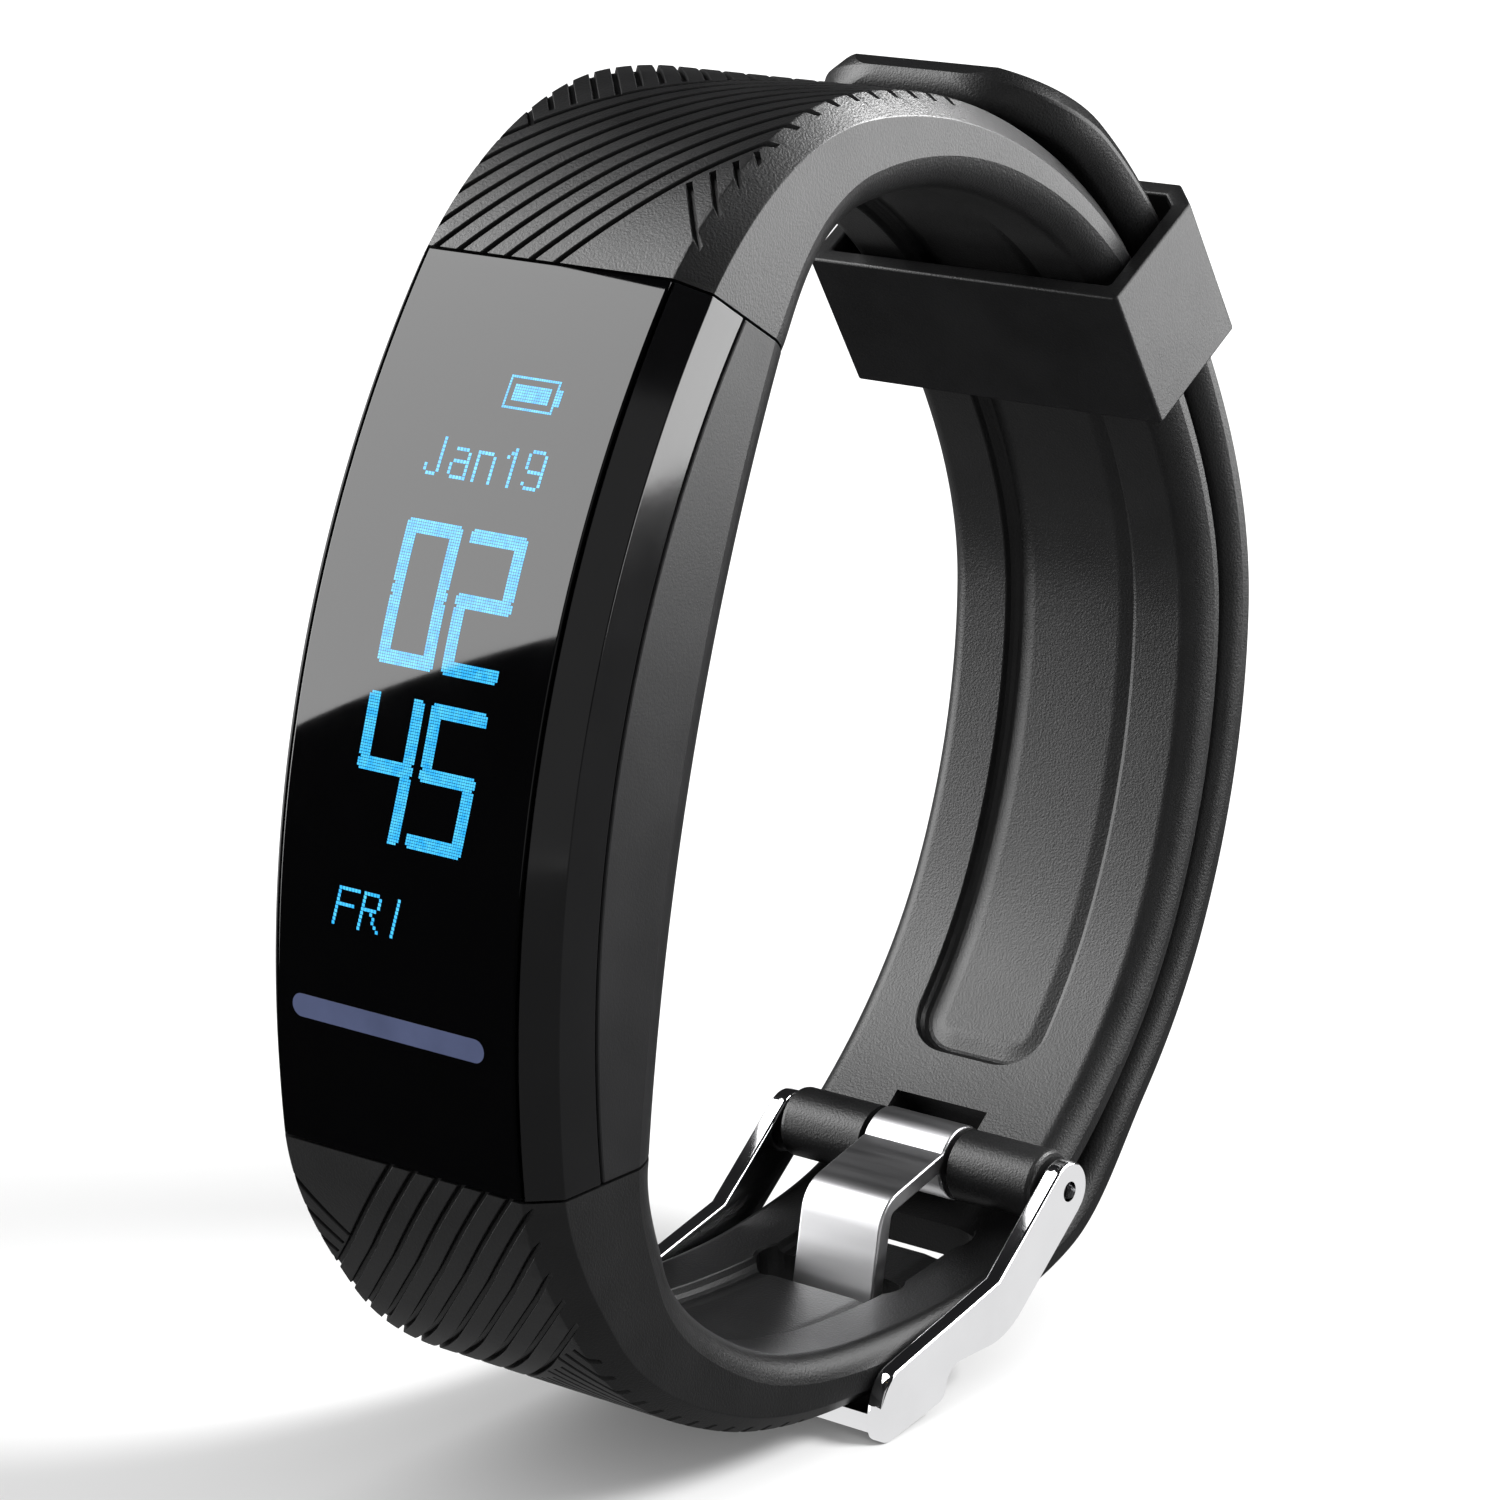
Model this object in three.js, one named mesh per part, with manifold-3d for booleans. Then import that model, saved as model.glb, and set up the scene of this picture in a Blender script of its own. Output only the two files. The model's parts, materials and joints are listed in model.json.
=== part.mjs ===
// Fitness tracker band: a curved tracker module between two moulded straps, closed by a pin buckle and a loose keeper.
// Millimetres. X runs across the band, the display faces -Y and tilts up, +Z is up.
// The origin is the middle of the wrist opening.
import * as THREE from 'three';
import { mergeVertices } from 'three/addons/utils/BufferGeometryUtils.js';
import Module from 'manifold-3d';

const wasm = await Module();
wasm.setup();

const RAD = Math.PI / 180;

// ---------------------------------------------------------------- driving dimensions

const gap = 0.15;                     // fitting gap between neighbouring pieces

const module = {
  apex: [-31.16, 7.79],               // Y, Z of the middle of the glass
  tilt: -15.17,                       // the glass leans back by this angle
  radius: 57.9,                       // curvature of the glass along the band
  halfSweep: 21.4,                    // half the angle of the glass arc
  seamFan: 15.65,                     // angle of each end seam to the module's own axis
  depthMid: 11.3,                     // glass to skin, in the middle
  depthEnd: 9.2,                      // glass to skin, at the seams
  glassHalf: 7.35,                    // half width of the flat glass
  bevel: 1.4,                         // 45 degree bevel between glass and side
  coverDepth: 4.1,                    // the gloss cover wraps the sides down to here
  caseRound: 2.6,                     // rounding between the side and the skin face
  wall: 1.2,
};
const moduleHalfWidth = module.glassHalf + module.bevel;

const strap = {
  taperLength: 18,                    // the thick shoulder fades out over about this length
  taperPower: 1.3,                    // above 1, the fade starts slowly at the module
  shoulder: { half: 8.75, bevel: 1.4, round: 2.6, depth: 9.2 },
  slim: { half: 8.25, bevel: 1.0, round: 1.4 },
  buckleDepth: 2.8,                   // thickness of the buckle strap away from its shoulder
  tailDepth: 2.4,                     // thickness of the tail strap away from its shoulder
  layerGap: 0.3,                      // air between the two straps where they overlap
  channelHalf: 4.2,                   // half width of the shallow channel on the skin face
  channelDepth: 0.7,
  channelRamp: 1.5,
  step: 2.0,                          // distance between cross-sections
};

// Outer face of the buckle strap, from the upper seam over the top and down the back: Y, Z, heading.
const buckleStations = [
  [-21.8, 27.11, 50],
  [-8.6, 34.0, 0],
  [4.1, 31.15, -25],
  [16.28, 21.13, -57],
  [23.2, 3.15, -90],
  [19.6, -13.05, -115],
  [8.85, -25.8, -143],
];

// Outer face of the tail strap, from the lower seam along the bottom to the buckle: Y, Z, heading.
const tailStations = [
  [-32.84, -13.61, -81],
  [-28.5, -22.45, -55],
  [-19.0, -29.25, -23],
  [-6.3, -31.35, 0],
  [2.6, -30.75, 10],
  [10.1, -28.85, 24],
];

const tab = { half: 5.4, top: 3.4, bottom: 6.9, reach: 0.14, pinReach: 0.07, pinDepth: 5.15, pinRadius: 0.6 };

const slot = { half: 4.7, length: 3.3, count: 9, pitch: 6.4, firstY: -0.15 };

const tip = { corner: 6.0, beyond: -0.9, lift: 0.6 };   // the free end stands off the buckle strap by its lift

const bar = { y: 7.6, z: -24.3, tubeRadius: 0.8, boreRadius: 0.89, pinRadius: 0.45, holeRadius: 0.54 };
const knuckle = { radius: 1.9, half: 8.2, gapHalf: 2.95 };

const plate = { inner: 8.5, thickness: 0.95, endRadius: 1.55 };

const tongue = { half: 2.6, thickness: 0.9, loopRadius: 2.0 };

const keeper = {
  corner: [9.9, 22.05],               // Y, Z of the upper edge of the wall next to the skin
  tilt: 31.6,
  half: 9.65,
  height: 8.95,
  length: 8.25,
  wall: 0.95,
  chamfer: 1.37,                      // outer corners, on the side away from the skin
  innerChamfer: 0.75,
};

// ---------------------------------------------------------------- materials

function finish(color, roughness, metalness = 0) {
  return new THREE.MeshStandardMaterial({ color, roughness, metalness });
}

const rubber = finish(0x1d1e1f, 0.72);
const keeperRubber = finish(0x222324, 0.68);
const glossBlack = finish(0x0b0c0d, 0.12);
const caseBlack = finish(0x242526, 0.55);
const glass = finish(0x15171a, 0.05);
const chrome = finish(0xd8dadd, 0.12, 1);
const steel = finish(0x9da1a6, 0.35, 1);
const gold = finish(0xd3a548, 0.3, 1);
const boardGreen = finish(0x1d5b3a, 0.55);
const chipBlack = finish(0x18191a, 0.5);
const foil = finish(0xb9bec6, 0.3, 0.8);
const silicone = finish(0x3a3c3f, 0.8);
const polyimide = finish(0xb5651d, 0.45);
const ledGreen = finish(0x7bdc7b, 0.3);

// ---------------------------------------------------------------- solids

function toSolid(geometry) {
  const bare = geometry.clone();
  bare.deleteAttribute('normal');
  bare.deleteAttribute('uv');
  const merged = mergeVertices(bare, 1e-4);
  const mesh = new wasm.Mesh({
    numProp: 3,
    vertProperties: new Float32Array(merged.attributes.position.array),
    triVerts: new Uint32Array(merged.index.array),
  });
  return new wasm.Manifold(mesh);
}

function toGeometry(solid) {
  const mesh = solid.getMesh();
  const geometry = new THREE.BufferGeometry();
  geometry.setAttribute('position', new THREE.BufferAttribute(new Float32Array(mesh.vertProperties), 3));
  geometry.setIndex(new THREE.BufferAttribute(new Uint32Array(mesh.triVerts), 1));
  return geometry;
}

function join(first, ...others) {
  return toGeometry(others.reduce((whole, piece) => whole.add(toSolid(piece)), toSolid(first)));
}

function cut(body, ...tools) {
  return toGeometry(tools.reduce((whole, tool) => whole.subtract(toSolid(tool)), toSolid(body)));
}

// Joins rings of points, each one a closed outline with the same number of points, and caps both ends.
function loft(rings, capOutline) {
  const count = rings[0].length;
  const position = rings.flat().flatMap((p) => [p.x, p.y, p.z]);
  const index = [];
  for (let r = 0; r + 1 < rings.length; r += 1) {
    for (let i = 0; i < count; i += 1) {
      const a = r * count + i;
      const b = r * count + ((i + 1) % count);
      index.push(a, a + count, b, b, a + count, b + count);
    }
  }
  const caps = THREE.ShapeUtils.triangulateShape(capOutline, []);
  const last = (rings.length - 1) * count;
  caps.forEach(([a, b, c]) => index.push(a, b, c, last + a, last + c, last + b));
  const geometry = new THREE.BufferGeometry();
  geometry.setAttribute('position', new THREE.BufferAttribute(new Float32Array(position), 3));
  geometry.setIndex(volume(position, index) < 0 ? flipped(index) : index);
  return geometry;
}

function volume(position, index) {
  const corner = (i) => new THREE.Vector3().fromArray(position, index[i] * 3);
  let total = 0;
  for (let i = 0; i < index.length; i += 3) {
    total += corner(i).dot(corner(i + 1).cross(corner(i + 2)));
  }
  return total;
}

function flipped(index) {
  const turned = index.slice();
  for (let i = 0; i < turned.length; i += 3) {
    [turned[i + 1], turned[i + 2]] = [turned[i + 2], turned[i + 1]];
  }
  return turned;
}

function box(x0, x1, y0, y1, z0, z1) {
  return new THREE.BoxGeometry(x1 - x0, y1 - y0, z1 - z0)
    .translate((x0 + x1) / 2, (y0 + y1) / 2, (z0 + z1) / 2);
}

// A cylinder along X.
function rodX(radius, x0, x1, y, z, sides = 24) {
  return new THREE.CylinderGeometry(radius, radius, x1 - x0, sides)
    .rotateZ(Math.PI / 2)
    .translate((x0 + x1) / 2, y, z);
}

// A cylinder along Y.
function rodY(radius, y0, y1, x, z, sides = 20) {
  return new THREE.CylinderGeometry(radius, radius, y1 - y0, sides).translate(x, (y0 + y1) / 2, z);
}

// A YZ outline extruded along X between two planes.
function plateX(shape, x0, x1) {
  return new THREE.ExtrudeGeometry(shape, { depth: x1 - x0, bevelEnabled: false, curveSegments: 10 })
    .rotateX(Math.PI / 2)
    .rotateZ(Math.PI / 2)
    .translate(x0, 0, 0);
}

function polygon(points) {
  return new THREE.Shape(points.map(([a, b]) => new THREE.Vector2(a, b)));
}

// ---------------------------------------------------------------- strap paths

// A smooth curve in the YZ plane through stations of Y, Z and heading. side is -1 when the wrist is on its right.
class Rail {
  constructor(stations, side) {
    this.side = side;
    this.spans = stations.slice(1).map((to, i) => ({ from: stations[i], to }));
    this.table = [];
    let length = 0;
    let before = null;
    const steps = 40;
    this.spans.forEach((span, i) => {
      for (let k = 0; k <= steps; k += 1) {
        const here = this.onSpan(i, k / steps);
        length += before ? Math.hypot(here.y - before.y, here.z - before.z) : 0;
        this.table.push({ length, span: i, t: k / steps });
        before = here;
      }
    });
    this.length = length;
  }

  onSpan(i, t) {
    const { from, to } = this.spans[i];
    const chord = Math.hypot(to[0] - from[0], to[1] - from[1]);
    const turn = (to[2] - from[2]) * RAD;
    const reach = chord * (1 + (turn * turn) / 24);
    const h = [2 * t ** 3 - 3 * t ** 2 + 1, t ** 3 - 2 * t ** 2 + t, 3 * t ** 2 - 2 * t ** 3, t ** 3 - t ** 2];
    const dh = [6 * t ** 2 - 6 * t, 3 * t ** 2 - 4 * t + 1, 6 * t - 6 * t ** 2, 3 * t ** 2 - 2 * t];
    const along = (w, start, end, trig) =>
      w[0] * start + w[1] * reach * trig(from[2] * RAD) + w[2] * end + w[3] * reach * trig(to[2] * RAD);
    const dy = along(dh, from[0], to[0], Math.cos);
    const dz = along(dh, from[1], to[1], Math.sin);
    return {
      y: along(h, from[0], to[0], Math.cos),
      z: along(h, from[1], to[1], Math.sin),
      heading: Math.atan2(dz, dy),
    };
  }

  // The point at a distance along the curve, with the direction towards the wrist.
  at(distance) {
    const wanted = Math.min(Math.max(distance, 0), this.length);
    let row = this.table.findIndex((entry) => entry.length >= wanted);
    row = Math.max(row, 1);
    const a = this.table[row - 1];
    const b = this.table[row];
    const share = b.length > a.length ? (wanted - a.length) / (b.length - a.length) : 0;
    const start = a.span === b.span ? a.t : 0;
    const point = this.onSpan(b.span, start + (b.t - start) * share);
    return { ...point, inward: point.heading + (this.side * Math.PI) / 2 };
  }

  // A station beside the curve, on the side away from the wrist, for a strap that runs the other way.
  beside(distance, offset) {
    const point = this.at(distance);
    return [
      point.y - Math.cos(point.inward) * offset,
      point.z - Math.sin(point.inward) * offset,
      point.heading / RAD + 180,
    ];
  }

  // The distance along the curve of the point nearest to a place.
  nearest(y, z) {
    let best = 0;
    let least = Infinity;
    for (let s = 0; s <= this.length; s += 0.05) {
      const point = this.at(s);
      const miss = Math.hypot(point.y - y, point.z - z);
      if (miss < least) {
        least = miss;
        best = s;
      }
    }
    return best;
  }
}

const buckleRail = new Rail(buckleStations, -1);
const overlapOffset = strap.layerGap + strap.tailDepth;
const overlapStations = [buckleRail.nearest(14.7, -20.25)]
  .concat(buckleStations.slice(2, 6).reverse().map(([y, z]) => buckleRail.nearest(y, z)))
  .map((s, i, all) => buckleRail.beside(s, overlapOffset + (i === all.length - 1 ? tip.lift : 0)));
const tailRail = new Rail([...tailStations, ...overlapStations], 1);
const tailEnd = tailRail.length + tip.beyond;

// ---------------------------------------------------------------- strap cross-sections

// Cross-section at a distance s from the module: X across, depth towards the skin.
function strapSection(s, slimDepth, channel) {
  const fade = Math.exp(-((s / strap.taperLength) ** strap.taperPower));
  const mix = (slim, thick) => slim + (thick - slim) * fade;
  const half = mix(strap.slim.half, strap.shoulder.half);
  const bevel = mix(strap.slim.bevel, strap.shoulder.bevel);
  const round = mix(strap.slim.round, strap.shoulder.round);
  const depth = mix(slimDepth, strap.shoulder.depth);
  const right = [[half - bevel, 0], [half, bevel]];
  for (const turn of [0, 30, 60, 90]) {
    right.push([half - round + round * Math.cos(turn * RAD), depth - round + round * Math.sin(turn * RAD)]);
  }
  right.push([strap.channelHalf + 0.2, depth], [strap.channelHalf - 0.2, depth - channel]);
  const left = right.map(([x, d]) => [-x, d]).reverse();
  return [...right, ...left];
}

function strapBody(rail, end, slimDepth, seamAngle, channelFrom, channelTo, narrow) {
  const rings = [];
  let outline = null;
  const normalAtSeam = rail.at(0).inward;
  const blendLength = 10;
  const stops = [];
  for (let s = 0; s < end - strap.step * 0.6; s += strap.step) {
    stops.push(s);
  }
  stops.push(...narrow.stops);
  stops.forEach((s) => {
    const place = rail.at(s);
    const lean = (seamAngle - normalAtSeam) * Math.max(0, 1 - s / blendLength);
    const inward = place.inward + lean;
    const ramp = Math.min((s - channelFrom) / strap.channelRamp, (channelTo - s) / strap.channelRamp, 1);
    const section = strapSection(s, slimDepth, strap.channelDepth * Math.max(ramp, 0));
    const shrink = narrow.scale(s);
    rings.push(section.map(([x, d]) => new THREE.Vector3(
      x * shrink, place.y + Math.cos(inward) * d, place.z + Math.sin(inward) * d)));
    outline = outline ?? section.map(([x, d]) => new THREE.Vector2(x, d));
  });
  return loft(rings, outline);
}

// ---------------------------------------------------------------- module frame

// Module parts are drawn in the module's own frame: Y into the wrist from the middle of the glass, Z along it.
const moduleGroup = new THREE.Group();
moduleGroup.position.set(0, ...module.apex);
moduleGroup.rotation.x = module.tilt * RAD;
moduleGroup.updateMatrix();

// A place in the module: t runs from -1 at the lower seam to 1 at the upper one, depth goes in from the glass.
function inModule(t, depth) {
  const arc = module.halfSweep * t * RAD;
  const fan = module.seamFan * t * RAD;
  return {
    y: module.radius * (1 - Math.cos(arc)) + Math.cos(fan) * depth,
    z: module.radius * Math.sin(arc) - Math.sin(fan) * depth,
  };
}

function moduleDepth(t) {
  return module.depthMid + (module.depthEnd - module.depthMid) * t * t;
}

function moduleLoft(t0, t1, sectionAt, steps = 16) {
  const rings = [];
  for (let i = 0; i <= steps; i += 1) {
    const t = t0 + ((t1 - t0) * i) / steps;
    rings.push(sectionAt(t).map(([x, d]) => {
      const place = inModule(t, d);
      return new THREE.Vector3(x, place.y, place.z);
    }));
  }
  return loft(rings, sectionAt(t0).map(([x, d]) => new THREE.Vector2(x, d)));
}

// A block that follows the curve of the module.
function moduleBlock(half, d0, d1, t0, t1, steps = 8) {
  const top = typeof d0 === 'function' ? d0 : () => d0;
  const bottom = typeof d1 === 'function' ? d1 : () => d1;
  return moduleLoft(t0, t1, (t) => [[-half, top(t)], [half, top(t)], [half, bottom(t)], [-half, bottom(t)]], steps);
}

const endT = 1 - gap / (module.radius * module.halfSweep * RAD);
const screwPlaces = [[-5.6, -13.4], [5.6, -13.4], [-5.6, 13.4], [5.6, 13.4]];
const sensorFace = { depth: module.depthMid + 0.35, half: 4.4, reach: 5.6, centre: -0.5 };
const contactPlaces = [[-2.6, -9.6], [2.6, -9.6]];

// ---------------------------------------------------------------- module pieces

function frontLens() {
  return moduleBlock(module.glassHalf - gap / 2, 0, 0.9, -endT, endT, 20);
}

function topCover() {
  const side = moduleHalfWidth;
  const inner = side - 0.9;
  const pocket = module.glassHalf + gap / 2;
  const floor = 1.0;
  const under = 1.8;
  const rim = gap / 2;
  const half = [[side, module.bevel], [side, module.coverDepth - gap], [inner, module.coverDepth - gap]];
  const right = [[pocket, floor], [pocket, rim], ...half, [inner, under]];
  const left = right.map(([x, d]) => [-x, d]).reverse();
  const shell = moduleLoft(-endT, endT, () => [...right, ...left], 20);
  const window = moduleBlock(5.3, 0.5, 2.5, -0.5, 0.66);
  return cut(shell, window);
}

function caseSection(t) {
  const half = moduleHalfWidth;
  const round = module.caseRound;
  const depth = moduleDepth(t);
  const right = [[half, module.coverDepth]];
  for (const turn of [0, 30, 60, 90]) {
    right.push([half - round + round * Math.cos(turn * RAD), depth - round + round * Math.sin(turn * RAD)]);
  }
  return [...right, ...right.map(([x, d]) => [-x, d]).reverse()];
}

function tabPin(end, radius, half) {
  const place = inModule(end * (1 - tab.pinReach), tab.pinDepth);
  return rodX(radius, -half, half, place.y, place.z);
}

function tabBlock(end, grow, outerReach) {
  const t0 = end * (1 - tab.reach - grow / 40);
  const t1 = end * (1 + outerReach);
  return moduleBlock(tab.half + grow, tab.top - grow, tab.bottom + grow, Math.min(t0, t1), Math.max(t0, t1), 3);
}

function lowerCase() {
  const shell = moduleLoft(-endT, endT, caseSection, 20);
  const endBlocks = [-1, 1].map((end) => {
    const reach = [end * 0.78, end * endT].sort((a, b) => a - b);
    return moduleBlock(7.6, 1.95, 5.0, reach[0], reach[1], 3);
  });
  const cavity = moduleBlock(7.5, 3.0, (t) => moduleDepth(t) - module.wall, -0.78, 0.78, 12);
  const pockets = [-1, 1].map((end) => tabBlock(end, 0.25, 0.02));
  const pinHoles = [-1, 1].map((end) => tabPin(end, tab.pinRadius + 0.1, 8.1));
  const screwHoles = screwPlaces.flatMap(([x, z]) => [
    rodY(0.75, 8.0, 14, x, z),
    rodY(1.35, 11.1, 14, x, z),
  ]);
  const window = box(
    -sensorFace.half - gap, sensorFace.half + gap, 8.5, 14,
    sensorFace.centre - sensorFace.reach - gap, sensorFace.centre + sensorFace.reach + gap);
  const contactHoles = contactPlaces.map(([x, z]) => rodY(1.3, 8.5, 14, x, z));
  return cut(join(shell, ...endBlocks), cavity, ...pockets, ...pinHoles, ...screwHoles, window, ...contactHoles);
}

function caseGasket() {
  const frame = moduleBlock(7.7, 3.02, 3.3, -0.775, 0.775, 12);
  const opening = moduleBlock(6.9, 2.5, 3.8, -0.75, 0.75, 12);
  return cut(frame, opening);
}

function oledPanel() {
  return moduleBlock(5.9, 1.95, 2.85, -0.55, 0.7, 8);
}

function touchElectrode() {
  return moduleBlock(4.8, 1.95, 2.15, -0.75, -0.62, 2);
}

// The chassis that the four case screws pull against; board and display sit on it.
function midFrame() {
  const deck = box(-6.8, 6.8, 5.0, 5.8, -14.8, 14.8);
  const bosses = screwPlaces.map(([x, z]) => rodY(1.2, 5.4, 10.3, x, z));
  const holes = screwPlaces.map(([x, z]) => rodY(0.53, 5.3, 12, x, z));
  const flexSlot = box(-2.4, 2.4, 4, 7, 12.9, 13.9);
  return cut(join(deck, ...bosses), ...holes, flexSlot);
}

function caseScrew([x, z]) {
  const shank = new THREE.LatheGeometry([
    new THREE.Vector2(0, 6.0),
    new THREE.Vector2(0.45, 6.3),
    new THREE.Vector2(0.45, 11.15),
    new THREE.Vector2(1.2, 11.15),
    new THREE.Vector2(1.2, 11.6),
    new THREE.Vector2(0.9, 11.8),
    new THREE.Vector2(0, 11.8),
  ], 20).translate(x, 0, z);
  const driveSlots = [0, 90].map((turn) => new THREE.BoxGeometry(1.5, 0.8, 0.3)
    .rotateY(turn * RAD)
    .translate(x, 11.9, z));
  return cut(shank, ...driveSlots);
}

function displayFlex() {
  const outline = polygon([
    [4.6, 11.6], [4.6, 13.3], [4.8, 13.5], [5.95, 13.5], [6.15, 13.3], [6.15, 10.6], [6.0, 10.6], [6.0, 13.2],
    [5.9, 13.3], [4.85, 13.3], [4.75, 13.2], [4.75, 11.6],
  ]);
  return plateX(outline, -2.0, 2.0);
}

function sensorWindow() {
  const { depth, half, reach, centre } = sensorFace;
  return box(-half, half, depth - 1.2, depth, centre - reach, centre + reach);
}

function chargeContact([x, z]) {
  return new THREE.LatheGeometry([
    new THREE.Vector2(0, 9.7),
    new THREE.Vector2(0.5, 9.7),
    new THREE.Vector2(0.5, 10.7),
    new THREE.Vector2(1.15, 10.7),
    new THREE.Vector2(1.15, 11.45),
    new THREE.Vector2(0.95, 11.65),
    new THREE.Vector2(0, 11.65),
  ], 24).translate(x, 0, z);
}

// ---------------------------------------------------------------- straps

const moduleMatrix = moduleGroup.matrix;
const seam = (end) => (module.tilt - end * module.seamFan) * RAD;

function strapTab(end) {
  return tabBlock(end, 0, 0.03).applyMatrix4(moduleMatrix);
}

function strapPinHole(end) {
  return tabPin(end, tab.pinRadius + 0.1, 9).applyMatrix4(moduleMatrix);
}

const straight = (end) => ({ stops: [end], scale: () => 1 });

function buckleStrap() {
  const end = buckleRail.length - 0.4;
  const body = strapBody(
    buckleRail, end, strap.buckleDepth, seam(1), 9, end - 5.5, straight(end));
  const whole = join(body, strapTab(1), rodX(knuckle.radius, -knuckle.half, knuckle.half, bar.y, bar.z, 32));
  const bore = rodX(bar.boreRadius, -10, 10, bar.y, bar.z);
  const notch = rodX(3.6, -knuckle.gapHalf, knuckle.gapHalf, bar.y, bar.z, 32);
  const ends = [-1, 1].map((side) => box(
    Math.min(side * knuckle.half, side * 12), Math.max(side * knuckle.half, side * 12),
    bar.y - 4, bar.y + 8, bar.z - 4, bar.z + 5));
  return cut(whole, strapPinHole(1), bore, notch, ...ends);
}

function slotTool(s) {
  const place = tailRail.at(s);
  const radius = slot.length / 2;
  const outline = new THREE.Shape();
  outline.absarc(slot.half - radius, 0, radius, -Math.PI / 2, Math.PI / 2);
  outline.absarc(-slot.half + radius, 0, radius, Math.PI / 2, (3 * Math.PI) / 2);
  const block = new THREE.ExtrudeGeometry(outline, { depth: 10, bevelEnabled: false, curveSegments: 6 });
  return block
    .translate(0, 0, -3)
    .rotateX(place.inward - Math.PI / 2)
    .translate(0, place.y, place.z);
}

const firstSlot = tailRail.nearest(slot.firstY, -31);

function tailStrap() {
  const tipSteps = 7;
  const stops = [];
  for (let i = 0; i <= tipSteps; i += 1) {
    stops.push(tailEnd - tip.corner * (1 - Math.sin((i / tipSteps) * 90 * RAD)));
  }
  const scale = (s) => {
    const u = Math.max(0, 1 - (tailEnd - s) / tip.corner);
    return 1 - (tip.corner / strap.slim.half) * (1 - Math.sqrt(Math.max(0, 1 - u * u)));
  };
  const body = strapBody(
    tailRail, tailEnd - tip.corner, strap.tailDepth, seam(-1), 16, tailEnd - 10, { stops, scale });
  const tools = [];
  for (let i = 0; i < slot.count; i += 1) {
    tools.push(slotTool(firstSlot + i * slot.pitch));
  }
  return cut(join(body, strapTab(-1)), strapPinHole(-1), ...tools);
}

// ---------------------------------------------------------------- keeper

function keeperLoop() {
  const { half, height, length, wall, chamfer, innerChamfer } = keeper;
  const outline = polygon([
    [-half, 0], [half, 0], [half, height - chamfer], [half - chamfer, height],
    [-half + chamfer, height], [-half, height - chamfer],
  ]);
  outline.holes.push(new THREE.Path([
    new THREE.Vector2(-half + wall, wall),
    new THREE.Vector2(-half + wall, height - wall - innerChamfer),
    new THREE.Vector2(-half + wall + innerChamfer, height - wall),
    new THREE.Vector2(half - wall - innerChamfer, height - wall),
    new THREE.Vector2(half - wall, height - wall - innerChamfer),
    new THREE.Vector2(half - wall, wall),
  ]));
  return new THREE.ExtrudeGeometry(outline, { depth: length, bevelEnabled: false }).translate(0, 0, -length);
}

// ---------------------------------------------------------------- buckle

// Side plate outline, Y and Z from the spring bar: an arm down to the bend, then a foot with a step under it.
function plateOutline() {
  const shape = new THREE.Shape();
  shape.moveTo(-6.1, -3.1);
  shape.lineTo(-14.85, -5.2);
  shape.quadraticCurveTo(-16.0, -5.8, -16.1, -7.4);
  shape.lineTo(-16.0, -8.3);
  shape.quadraticCurveTo(-15.9, -8.85, -15.2, -8.8);
  shape.lineTo(-11.3, -8.15);
  shape.quadraticCurveTo(-10.6, -8.0, -10.5, -7.2);
  shape.quadraticCurveTo(-10.3, -6.5, -9.4, -6.4);
  shape.lineTo(-6.6, -6.4);
  shape.quadraticCurveTo(-5.2, -6.3, -4.0, -5.3);
  shape.lineTo(0.9, -1.3);
  shape.absarc(0, 0, plate.endRadius, -50 * RAD, 130 * RAD);
  return shape;
}

function crossbarOutline() {
  return polygon([[-15.9, -7.35], [-10.9, -7.35], [-10.9, -8.0], [-15.2, -8.7], [-15.9, -8.3]]);
}

function placedAtBar(geometry) {
  return geometry.translate(0, bar.y, bar.z);
}

function buckleFrame() {
  const outer = plate.inner + plate.thickness;
  const plates = [[-outer, -plate.inner], [plate.inner, outer]].map(([x0, x1]) => plateX(plateOutline(), x0, x1));
  const crossbar = plateX(crossbarOutline(), -outer + 0.1, outer - 0.1);
  const hole = rodX(bar.holeRadius, -12, 12, 0, 0);
  return placedAtBar(cut(join(plates[0], plates[1], crossbar), hole));
}

// A strip rolled round the spring bar, flat over the strap and bent down into the slot.
function tongueOutline() {
  const { loopRadius, thickness } = tongue;
  const shape = new THREE.Shape();
  const start = 150 * RAD;
  shape.absarc(0, 0, loopRadius, start, -160 * RAD, true);
  shape.lineTo(-2.1, -0.05);
  shape.lineTo(-5.9, -1.0);
  shape.quadraticCurveTo(-6.15, -1.1, -6.2, -1.5);
  shape.lineTo(-7.05, -6.0);
  shape.quadraticCurveTo(-7.5, -6.35, -7.95, -5.9);
  shape.lineTo(-7.95 + thickness, -0.95);
  shape.quadraticCurveTo(-6.95, -0.35, -6.4, -0.2);
  shape.lineTo(-2.9, 0.7);
  return shape;
}

function buckleTongue() {
  const body = plateX(tongueOutline(), -tongue.half, tongue.half);
  return placedAtBar(cut(body, rodX(bar.boreRadius, -5, 5, 0, 0)));
}

function springBarTube() {
  const wallInner = 0.58;
  const reach = 7.4;
  return new THREE.LatheGeometry([
    new THREE.Vector2(wallInner, -reach),
    new THREE.Vector2(bar.tubeRadius, -reach),
    new THREE.Vector2(bar.tubeRadius, reach),
    new THREE.Vector2(wallInner, reach),
    new THREE.Vector2(wallInner, -reach),
  ], 24).rotateZ(-Math.PI / 2).translate(0, bar.y, bar.z);
}

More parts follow.
